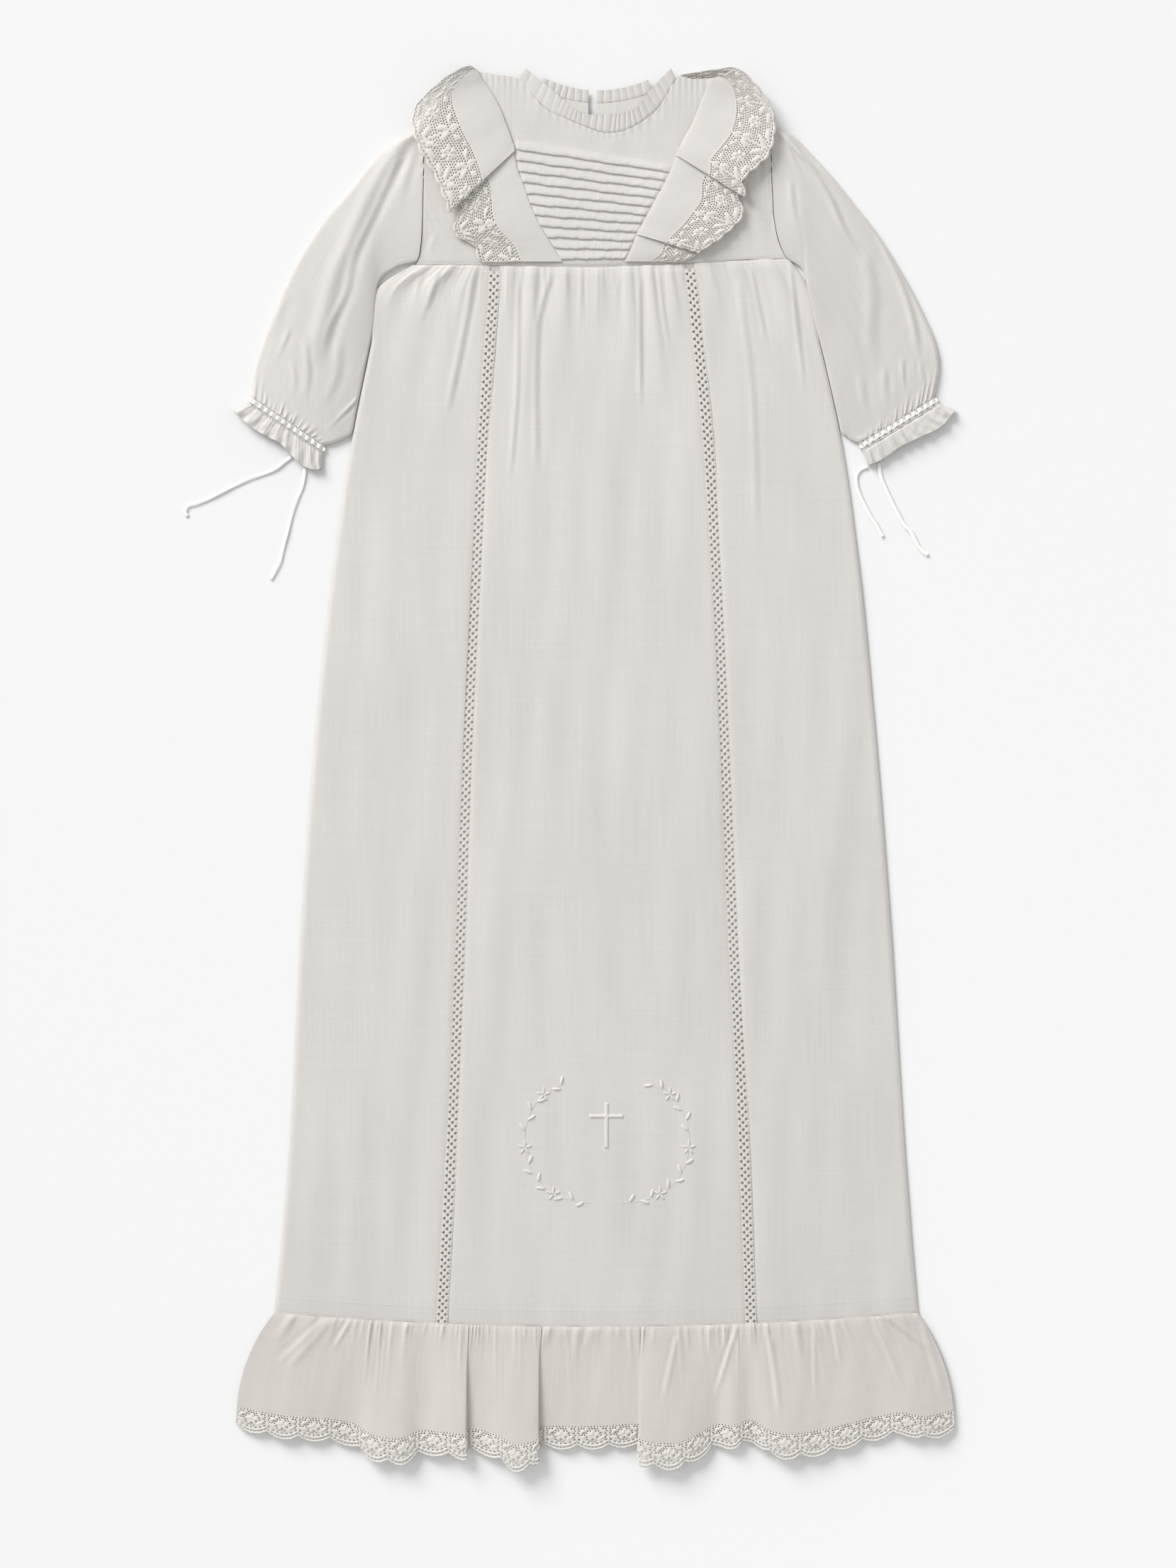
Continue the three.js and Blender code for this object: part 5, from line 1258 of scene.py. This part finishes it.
# Neck frills. A narrow strip of lawn is pleated into the neck seam, one on the front and one on each side of
# the back opening. Its pleats stand as small rolls at the right and were pressed nearly flat at the left.
FRONT_PLEATS, BACK_PLEATS = 26, 7
FRONT_FRILL_UP, BACK_FRILL_UP = 3.75, 2.0  # heights of the two seams that the frills are sewn into
FRONT_FRILL_STEP, FRONT_FRILL_FLAT = 26, 11  # the front strip, flat: its length for each place, and its depth
BACK_FRILL_RUN, BACK_FRILL_FLAT = 65, 9  # each back strip, flat
PLEAT_HEIGHTS = table("place tall", [
    (0, 0.5), (2, 0.35), (3, 0.55), (4, 0.7), (5.2, 0.8), (6, 1.3), (8, 1.4),
])
BACK_FRILL_REACH, BACK_FRILL_DEEP = 40, 9


def rolls(turns, sharp=0.55):
    """Rounded rolls side by side, with narrow valleys between them."""
    return np.abs(np.sin(np.pi * turns)) ** sharp


draw = np.random.default_rng(53)
shift = np.cumsum(draw.uniform(0.7, 1.3, FRONT_PLEATS + 1))
spans = len(NECK["x"]) - 1
place, v = np.meshgrid(np.linspace(0, spans, 420), np.linspace(-0.03, 1, 22))
pleat_at = (shift - shift[0]) * FRONT_PLEATS / (shift[-1] - shift[0])
turns = np.interp(place, np.linspace(0, spans, FRONT_PLEATS + 1), pleat_at)
turns = turns + 0.12 * np.sin(turns * 2.1) * v
at = np.arange(spans + 1)
x, y = (
    mix(smooth(place, at, NECK[seam]), smooth(place, at, NECK[free]), v)
    for seam, free in (("x", "freeX"), ("y", "freeY"))
)
tall = smooth(place, PLEAT_HEIGHTS["place"], PLEAT_HEIGHTS["tall"])
height = FRONT_FRILL_UP + tall * rolls(turns) * mix(0.6, 1.1, np.clip(v, 0, 1)) - 0.7 * np.exp(-v / 0.06)
frill = sew(
    "neck_frill_front_pleated", np.stack([x, y, height], axis=-1),
    np.stack([place * FRONT_FRILL_STEP, v * FRONT_FRILL_FLAT], axis=-1), lawn_cloth, thick=0.4,
)
settle(frill, "cloth", "neck_frill_front")

for side, start, end in (("left", SLIT_LEFT, -BACK_FRILL_REACH), ("right", SLIT_RIGHT, BACK_FRILL_REACH)):
    u, v = np.meshgrid(np.linspace(0, 1, 130), np.linspace(-0.03, 1, 14))
    x = mix(start, end, u)
    grid = np.stack([
        mix(x, x * 0.93, v), back_neck(x) + BACK_FRILL_DEEP * v,
        BACK_FRILL_UP + 0.8 * rolls(u * BACK_PLEATS + 0.1 * np.sin(9 * u + 2 * v)) * mix(0.7, 1, v)
        - 0.5 * np.exp(-v / 0.06),
    ], axis=-1)
    flat = np.stack([u * BACK_FRILL_RUN, v * BACK_FRILL_FLAT], axis=-1)
    frill = sew("neck_frill_back_" + side + "_pleated", grid, flat, lawn_cloth, 0.4)
    settle(frill, "cloth", "neck_frill_back_" + side)

# Sleeves. Each is a puffed tube of lawn that lies flat on the surface, gathered a little into the armhole and
# much more into the band at the cuff. Long soft folds run down from the shoulder.
TUBE_EDGE = 1.5  # radius of a sleeve's folded edge
ARMHOLE_GAP = 0.3
SLEEVES = {
    "left": table("outX outY inX inY dome", [
        (-121.5, 456.5, -126.6, 359.6, 1.4), (-140, 444.8, -140.6, 354.2, 1.8),
        (-154, 431.8, -153.2, 342.6, 2.2),
        (-172.5, 409, -157.2, 311, 2.4), (-188.5, 390.8, -160.6, 293, 2.4), (-204, 368, -164.8, 272, 2.4),
        (-216, 346, -168.7, 253, 2.4), (-226, 324, -171.9, 237.5, 2.4), (-234.7, 300.5, -177, 233.5, 2.2),
        (-240.5, 281, -184, 230.4, 1.8), (-242.3, 263.8, -190.5, 228.8, 1.2),
    ]),
    "right": table("outX outY inX inY dome", [
        (124.5, 456.5, 134, 364, 1.4), (139, 447.8, 146, 352.6, 1.8), (150, 436.8, 149.8, 338, 2.2),
        (167.5, 417.8, 155, 315, 2.4), (182.5, 399, 161, 292, 2.4), (197.5, 380, 167, 266, 2.4),
        (211, 359, 170.7, 250, 2.4), (222.5, 338.8, 173.4, 238, 2.4), (232.5, 318.8, 177, 235, 2.4),
        (240, 301, 180, 232.6, 2.2), (242.6, 283.8, 183, 231.2, 1.8), (239.2, 263.6, 185.2, 230.4, 1.2),
    ]),
}
SLEEVE_CREASES = {
    "left": [
        ([(-127, 453), (-148, 426), (-164, 396), (-174, 373), (-184, 350), (-190, 327), (-196, 303),
          (-198, 279)], 1.7, 6),
        ([(-139, 431), (-156, 394), (-171, 361), (-177, 335), (-188, 311), (-193, 283)], 1.0, 3),
        ([(-217, 308), (-222, 295), (-226, 284)], 0.9, 2), ([(-214, 284), (-212, 275), (-216, 258)], 0.8, 2),
        ([(-205, 300), (-203, 280), (-206, 255)], 0.8, 2.4),
        ([(-164, 265), (-180, 249), (-193, 235)], 1.1, 2),
        ([(-134, 446), (-140, 436)], 0.5, 2), ([(-128, 440), (-137, 405), (-139, 392)], 0.7, 3),
        ([(-156, 300), (-163, 285), (-170, 268)], 0.6, 2), ([(-222, 330), (-230, 300)], 0.7, 4),
        ([(-181, 300), (-184, 275), (-196, 250)], 0.7, 3.4),
    ],
    "right": [
        ([(127, 452), (150, 426), (164, 404), (174, 382), (188, 359)], 1.5, 2.6),
        ([(127, 458), (146, 433), (161, 420), (178, 402), (196, 382), (212, 350), (225, 308),
          (228, 286)], 1.3, 2.6),
        ([(199, 378), (209, 356), (228, 331), (237, 308), (242, 280)], 0.9, 2),
        ([(134, 442), (141, 426), (150, 409)], 0.9, 2), ([(137, 414), (139, 394), (144, 372)], 0.8, 2.2),
        ([(151, 339), (162, 326), (174, 313)], 0.6, 1.6), ([(216, 286), (217, 272), (218, 261)], 1.0, 1.6),
        ([(181, 300), (190, 290), (197, 280)], 0.5, 1.6),
        ([(190, 359), (194, 337), (193, 308), (199, 276)], 0.9, 4.5),
        ([(229, 284), (231, 272), (233, 263)], 0.9, 1.8),
        ([(224, 286), (225, 272)], 0.7, 1.5), ([(203, 280), (204, 262), (206, 250)], 0.8, 2.4),
        ([(186, 275), (190, 255), (195, 240)], 0.8, 2.8), ([(172, 262), (178, 248)], 0.6, 2),
    ],
}
CUFF_GATHERS = 15


def tube_ring(columns):
    """Places round a flattened tube, from its left side at the bottom. Each has its share of the way across,
    its distance inwards from the tube's side and its height, both in edge radii, and 1 if it is on top."""
    turn = np.radians(np.linspace(-90, 90, 11))
    across = np.linspace(0, 1, columns)
    side = np.ones_like(turn)
    left = np.stack([turn * 0, side - np.cos(turn), 1 + np.sin(turn), turn * 0])
    top = np.stack([across, 1 - 2 * across, np.full(columns, 2.0), np.ones(columns)])[:, 1:-1]
    right = np.stack([side, np.cos(turn) - side, 1 + np.sin(turn), turn * 0])[:, ::-1]
    back = across[::-2][1:-1]
    under = np.stack([back, 1 - 2 * back, back * 0, back * 0])
    return np.concatenate([left, top, right, under], axis=1)


def tube(line, top, columns, rows):
    """The grid of a flattened tube. line(row, t) is a place from above, and top(row, t, x, y) its height."""
    share, inset, high, on_top = tube_ring(columns)
    row, share = np.meshgrid(rows, share, indexing="ij")
    x0, y0 = line(row, 0 * share)
    x1, y1 = line(row, 0 * share + 1)
    t = share + inset * TUBE_EDGE / np.hypot(x1 - x0, y1 - y0)
    x, y = line(row, t)
    return np.stack([x, y, high * TUBE_EDGE + on_top * top(row, t, x, y)], axis=-1)


def dome_at(dome, t):
    return dome * np.sin(np.pi * np.clip(t, 0, 1)) ** 0.7


def ring_flat(grid):
    """The flat coordinates of a tube's grid: round it, and along it."""
    steps = np.linalg.norm(np.diff(grid, axis=1), axis=2)
    across = np.concatenate([np.zeros((len(grid), 1)), np.cumsum(steps, axis=1)], axis=1)
    along = run_along(grid.mean(axis=1))
    return np.stack([across, np.tile(along[:, None], (1, grid.shape[1]))], axis=-1)


def sleeve_line(rows, side):
    at = np.arange(len(rows["outX"]))

    def line(row, t):
        out_x, out_y, in_x, in_y = (smooth(row, at, rows[key]) for key in ("outX", "outY", "inX", "inY"))
        x, y = mix(out_x, in_x, t), mix(out_y, in_y, t)
        way = -1 if side == "left" else 1
        seam = arm_at(side, np.minimum(y, SHOULDER_END)) + way * ARMHOLE_GAP
        return mix(seam, x, ease(row / 0.9)), y

    return line


for number, side in enumerate(("left", "right")):
    rows = SLEEVES[side]
    last = len(rows["outX"]) - 1
    draw = np.random.default_rng(61 + number)
    places = np.linspace(0.04, 0.96, CUFF_GATHERS) + draw.uniform(-0.02, 0.02, CUFF_GATHERS)
    sizes = np.stack([draw.uniform(0.4, 1.1, CUFF_GATHERS), draw.uniform(0.5, 1.6, CUFF_GATHERS),
                      draw.uniform(0.012, 0.03, CUFF_GATHERS)], axis=-1)

    def sleeve_top(row, t, x, y):
        height = dome_at(smooth(row, np.arange(last + 1), rows["dome"]), t)
        folds = crease_height(x, y, SLEEVE_CREASES[side]) + 0.3 * ripples(x, y, 67, (20, 60), (80, 200))
        for at, (tall, reach, wide) in zip(places, sizes):
            near = 1 - ease((last - row) / reach)
            folds = folds + tall * near * bump((t - at) / (wide * (1.9 - 0.9 * near)))
        folds = folds + 0.3 * np.sin(t * 95 + 4 * np.sin(t * 9)) * (1 - ease(row / 0.5)) * (t < 0.4)
        return np.maximum(height + folds * ease(t / 0.05) * ease((1 - t) / 0.05), -0.6)

    grid = tube(sleeve_line(rows, side), sleeve_top, 124, np.linspace(0, last, 190))
    sleeve = sew("sleeve_" + side + "_cloth", grid, ring_flat(grid), lawn_cloth, around=True)
    settle(sleeve, "cloth", "sleeve_" + side)

# Cuffs. An openwork band holds the sleeve's gathers, with a white satin ribbon threaded through its slits.
# Beyond it the sleeve ends in a frill, open at its end, from which the ends of the drawstring come.
BAND_ENDS = {
    "left": {"outX": -245.6, "outY": 258.6, "inX": -192.4, "inY": 222.4},
    "right": {"outX": 242.6, "outY": 258.1, "inX": 188.6, "inY": 225},
}
CUFF_ENDS = {
    "left": table("x y", [(-256, 255), (-248, 246), (-240, 239.6), (-232, 235), (-222, 229.6), (-214, 221.4),
                          (-205, 213.6), (-198, 211.4), (-192.4, 212.4)]),
    "right": table("x y", [(254, 254), (247.6, 245.6), (241, 240), (231.4, 235.4), (222, 231), (214, 227),
                           (206.4, 221.6), (199, 217), (192.3, 214.5)]),
}
BAND_DOME = 1.6
SLIT_STEP, BAND_DEEP = 5.0, 6.6
CUFF_WAVES = 8


def slit_tile():
    """One step of the band: a slit on each side of where the ribbon shows, and pinholes on each edge."""
    outline = [(0, 0), (SLIT_STEP / 2, 0), (SLIT_STEP, 0), (SLIT_STEP, BAND_DEEP / 2), (SLIT_STEP, BAND_DEEP),
               (SLIT_STEP / 2, BAND_DEEP), (0, BAND_DEEP), (0, BAND_DEEP / 2)]
    holes = [oval(x, BAND_DEEP / 2, 0.5, 1.45, 10) for x in (0.75, 4.25)]
    holes += [oval(x, y, 0.42, 0.38, 6) for x in (0.9, 2.5, 4.1) for y in (0.95, BAND_DEEP - 0.95)]
    return pierced(
        "slit_tile", outline, holes, grain=0.6,
        joints=lambda x, y: (np.abs(x) < 0.01) | (np.abs(x - SLIT_STEP) < 0.01),
    )


def straight(first, last):
    """The line across a tube between two stations, as straight from its outer end to its inner one."""
    def line(row, t):
        starts, stops = ([mix(end["out" + k], end["in" + k], t) for k in "XY"] for end in (first, last))
        return mix(starts[0], stops[0], row), mix(starts[1], stops[1], row)

    return line


def closed_ring(grid):
    return np.concatenate([grid, grid[:, :1]], axis=1)


def evenly_round(grid, values, count):
    """The values of each ring of a tube at places an even distance apart round it."""
    rings = []
    for ring, value in zip(closed_ring(grid), closed_ring(values)):
        run = run_along(ring)
        at = np.linspace(0, run[-1], count, endpoint=False)
        rings.append(np.stack([np.interp(at, run, column) for column in value.T], axis=-1))
    return np.stack(rings)


slits = slit_tile()
RIBBON_ROWS = np.linspace(0.3, 0.7, 7)
for side in ("left", "right"):
    cuff = {key: column[-1] for key, column in SLEEVES[side].items()}
    band_line_at = straight(cuff, BAND_ENDS[side])
    band_top = lambda row, t, x, y: dome_at(BAND_DOME, t) + 0.15 * np.sin(t * 60)
    down = np.linspace(-0.06, 1.06, 8)
    ring = tube(band_line_at, band_top, 120, down)
    up, way = squares(ring, around=True)
    flat = ring_flat(closed_ring(ring))
    count = round(flat[:, -1, 0].mean() / SLIT_STEP)
    flat[..., 0] *= count * SLIT_STEP / flat[:, -1:, 0]
    flat[..., 1] = (down if way > 0 else 1 - down)[:, None] * BAND_DEEP
    cloth = template(closed_ring(ring - up * 0.4), flat, closed_ring(up))
    places = [(k * SLIT_STEP, 0) for k in range(count)]
    band = lay("sleeve_band_" + side + "_openwork", slits, places, cloth, lace_cotton)
    settle(band, "lace", "sleeve_band_" + side)
    put_away(cloth)

    ring = tube(band_line_at, band_top, 120, RIBBON_ROWS)
    up = evenly_round(ring, squares(ring, around=True)[0], count * 8)
    weave = np.clip(1.6 * np.cos(np.pi * (np.arange(count * 8) / 4 - 1)), -1, 1)
    bulge = 0.75 - 5 * (RIBBON_ROWS - 0.5) ** 2
    strip = evenly_round(ring, ring, count * 8) + up * (0.1 + bulge[:, None] * weave)[..., None]
    strip[..., 2] = np.maximum(strip[..., 2], 0.3)
    ribbon = sew("sleeve_band_" + side + "_ribbon", strip, ring_flat(strip), white_satin, 0.2, around=True)
    settle(ribbon, "ribbon", "sleeve_band_" + side)

    ends = CUFF_ENDS[side]
    reach = np.linspace(0, 1, len(ends["x"]))

    def frill_line(row, t):
        start_x, start_y = band_line_at(0 * row + 1, t)
        return mix(start_x, smooth(t, reach, ends["x"]), row), mix(start_y, smooth(t, reach, ends["y"]), row)

    def frill_top(row, t, x, y):
        row = np.clip(row, 0, 1)
        round_cuff = t + 0.02 * np.sin(t * 13)
        waves = 1.5 * mix(0.4, 1, row) * (0.5 - 0.5 * np.cos(2 * np.pi * CUFF_WAVES * round_cuff))
        fine = 0.45 * rolls(t * 23 + 0.4 * np.sin(t * 17)) * (1 - 0.5 * row)
        fine = fine + 0.3 * np.sin(t * 61 + row * 5) * row
        creases = 0.35 * ripples(x, y, 71 if side == "left" else 73, (5, 13), (9, 30))
        pinch = -0.9 * np.exp(-((row - 0.04) / 0.05) ** 2)
        return (dome_at(1.2, t) + (waves + fine + creases) + pinch) * ease(t / 0.04) * ease((1 - t) / 0.04)

    grid = tube(frill_line, frill_top, 170, np.r_[-0.04, np.linspace(0, 1, 26)])
    frill = sew("cuff_frill_" + side + "_cloth", grid, ring_flat(grid), lawn_cloth, 0.4, around=True)
    settle(frill, "cloth", "cuff_frill_" + side)
put_away(slits)

# Whitework on the front of the skirt, near the hem. Satin stitch in white cotton, tone on tone: a plain Latin
# cross between two leafy sprays with small five-petalled flowers. The cloth below them is left bare.
CROSS_AT, CROSS_HIGH, CROSS_WIDE, CROSS_BAR = (7.8, -251), 32.0, 24.0, 2.6
SPRAY_AT, SPRAY_REACH = (8.0, -262), (58, 47)
SPRAY_FROM, SPRAY_TO = -78, 58  # degrees round the right spray's curve
white_thread = cotton("white_thread", (226, 223, 218), (216, 212, 207), thread=0.4)


def satin_stitch(name, outline, tall=0.25, slant=0.8, grain=0.5):
    """A closed shape filled with satin stitch, so that it is domed and finely ribbed."""
    return pierced(
        name, outline, [], grain=grain,
        raised=lambda x, y: tall * (1 + 0.25 * np.sin((x * math.cos(slant) + y * math.sin(slant)) * 9)),
    )


def cross_outline():
    half, top, foot = CROSS_BAR / 2, CROSS_HIGH * 0.5, -CROSS_HIGH * 0.5
    bar = CROSS_HIGH * 0.2
    arm = CROSS_WIDE / 2
    corners = [
        (half, foot), (half, bar - half), (arm, bar - half), (arm, bar + half), (half, bar + half),
        (half, top),
    ]
    corners = np.array(corners + [(-x, y) for x, y in corners[::-1]])
    steps = np.linspace(0, 1, 8, endpoint=False)
    return np.concatenate([mix(a, b, steps[:, None]) for a, b in zip(corners, np.roll(corners, -1, axis=0))])


def spray():
    """Places along both sprays: x, y and the direction of the stem there, in degrees."""
    for way in (1, -1):
        for degrees in np.linspace(SPRAY_FROM, SPRAY_TO, 68):
            turn = math.radians(degrees)
            x = SPRAY_AT[0] + way * SPRAY_REACH[0] * math.cos(turn)
            y = SPRAY_AT[1] + SPRAY_REACH[1] * math.sin(turn) + 3 * math.sin(3 * turn)
            yield way, degrees, x, y, turn * way + (math.pi / 2 if way > 0 else math.pi / 2)


cloth = template(centre_grid, centre_grid[..., :2])
leaf = satin_stitch("leaf", oval(0, 0, 2.9, 1.05, 14))
stem = satin_stitch("stem", oval(0, 0, 1.25, 0.32, 8), tall=0.1)
leaves, flowers, stems = [], [], []
for k, (way, degrees, x, y, turn) in enumerate(spray()):
    stems.append((x, y, turn, 1))
    step = k % 68
    if step % 22 == 14:
        for petal in np.arange(5) * 2 * math.pi / 5 + 0.3:
            flowers.append((x + 2.7 * math.cos(petal), y + 2.7 * math.sin(petal), petal, 0.85))
    elif step % 4 == 2 and abs(step % 22 - 14) > 2:
        lean = turn + (0.75 if step % 8 == 2 else -0.75)
        leaves.append((x + 3.4 * math.cos(lean), y + 3.4 * math.sin(lean), lean, 1.1))
cross = satin_stitch("cross", cross_outline(), tall=0.3, grain=0.6)
for name, motif, places in (
    ("cross", cross, [(*CROSS_AT, 0, 1)]), ("leaves", leaf, leaves),
    ("flowers", leaf, flowers), ("stems", stem, stems),
):
    stitches = lay("embroidery_" + name, motif, places, cloth, white_thread, lift=0.02, weld=0)
    settle(stitches, "cloth", "skirt_front_centre")
put_away(cloth, leaf, stem, cross)

# Stitching. Short machine stitches run beside the waist seam, above the flounce, along the armholes and round
# the neck, in white cotton like the rest.
STITCH_STEP = 2.5


def stitch_row(name, node, grid, lines):
    """Rows of stitches laid on a cloth, each along a line of points on it."""
    cloth = template(grid, grid[..., :2])
    places = []
    for line in lines:
        points, _ = spaced(np.c_[line, np.zeros(len(line))], STITCH_STEP)
        ways = np.gradient(points, axis=0)
        places += [(x, y, math.atan2(dy, dx), 1) for (x, y, _), (dx, dy, _) in zip(points, ways)]
    row = lay(name, stitch, places, cloth, white_thread, lift=-0.03, uneven=0.06, seed=7, weld=0)
    settle(row, "cloth", node)
    put_away(cloth)


stitch = satin_stitch("stitch", oval(0, 0, 0.85, 0.2, 8), tall=0.06)
for name, grid in (("left", left_grid), ("centre", centre_grid), ("right", right_grid)):
    xs = np.linspace(grid[-1, 0, 0] + 2, grid[-1, -1, 0] - 2, 20)
    low = np.linspace(grid[0, 0, 0] + 2, grid[0, -1, 0] - 2, 20)
    lines = [
        np.c_[xs, waist_at(xs) - 2.2], np.c_[low * 0.998, foot_at(low) + 11], np.c_[low, foot_at(low) + 2],
    ]
    stitch_row("skirt_front_" + name + "_stitches", "skirt_front_" + name, grid, lines)
for side, way in (("left", -1), ("right", 1)):
    ys = np.linspace(362, 452, 20)
    xs = np.linspace(seam_x(side, 359) + way * 3, arm_at(side, 359) - way * 3, 20)
    lines = [np.c_[arm_at(side, ys) - way * 2.4, ys], np.c_[xs, waist_at(xs) + 2.4]]
    stitch_row("yoke_front_" + side + "_stitches", "yoke_front_" + side, side_grids[side], lines)
xs = np.linspace(-50, 52, 40)
low = np.linspace(-19, 17, 12)
lines = [np.c_[xs, neck_top(xs) - 2.4], np.c_[low, waist_at(low) + 2.0]]
stitch_row("yoke_front_centre_stitches", "yoke_front_centre", yoke_grid, lines)
put_away(stitch)


# Studio. A plain pale table under soft light from the upper left, and a bright room all round. The table is a
# little paler away from the window, so that it looks evenly lit.
TABLE_HALF = 6  # metres
TABLE_DROP = 0.0004
WINDOW_AT, WINDOW_SIDE, WINDOW_POWER = (-4.4, 5.4, 3.9), 4.0, 690
ROOM_LIGHT = 0.64
TABLE_SHADE = {"middle": 0.434, "across": 0.283, "along": -0.35}  # share of the paler of its two colours

floor_mesh = bpy.data.meshes.new("floor")
table_corners = [(x * TABLE_HALF, y * TABLE_HALF, 0) for x, y in ((-1, -1), (1, -1), (1, 1), (-1, 1))]
floor_mesh.from_pydata(table_corners, [], [(0, 1, 2, 3)])
table_top = Finish("table_top", Roughness=0.9, Specular_IOR_Level=0.1)
spot = table_top.place((1, 1, 1), along_cloth=False)
across = table_top.node("ShaderNodeSeparateXYZ", {}, {0: spot}, out=0)
along = table_top.node("ShaderNodeSeparateXYZ", {}, {0: spot}, out=1)
paler = TABLE_SHADE["middle"] + across * TABLE_SHADE["across"] + along * TABLE_SHADE["along"]
table_colour = table_top.blend(paler, colour(220, 220, 220), colour(250, 250, 250))
table_top.feed(table_top.shader.inputs["Base Color"], table_colour)
floor_mesh.materials.append(table_top.material)
floor = bpy.data.objects.new("floor", floor_mesh)
floor.location.z = -TABLE_DROP
bpy.context.scene.collection.objects.link(floor)

world = bpy.data.worlds.new("studio")
world.use_nodes = True
world.node_tree.nodes["Background"].inputs["Color"].default_value = (1, 1, 1, 1)
world.node_tree.nodes["Background"].inputs["Strength"].default_value = ROOM_LIGHT
bpy.context.scene.world = world
bpy.context.scene.view_settings.view_transform = "Standard"

key = bpy.data.lights.new("window", "AREA")
key.shape, key.size, key.size_y, key.energy = "RECTANGLE", WINDOW_SIDE, WINDOW_SIDE, WINDOW_POWER
window = bpy.data.objects.new("window", key)
window.location = WINDOW_AT
aim = -np.array(WINDOW_AT)
tilt = math.atan2(math.hypot(aim[0], aim[1]), -aim[2])
window.rotation_euler = (tilt, 0, math.atan2(aim[1], aim[0]) - math.pi / 2)
bpy.context.scene.collection.objects.link(window)
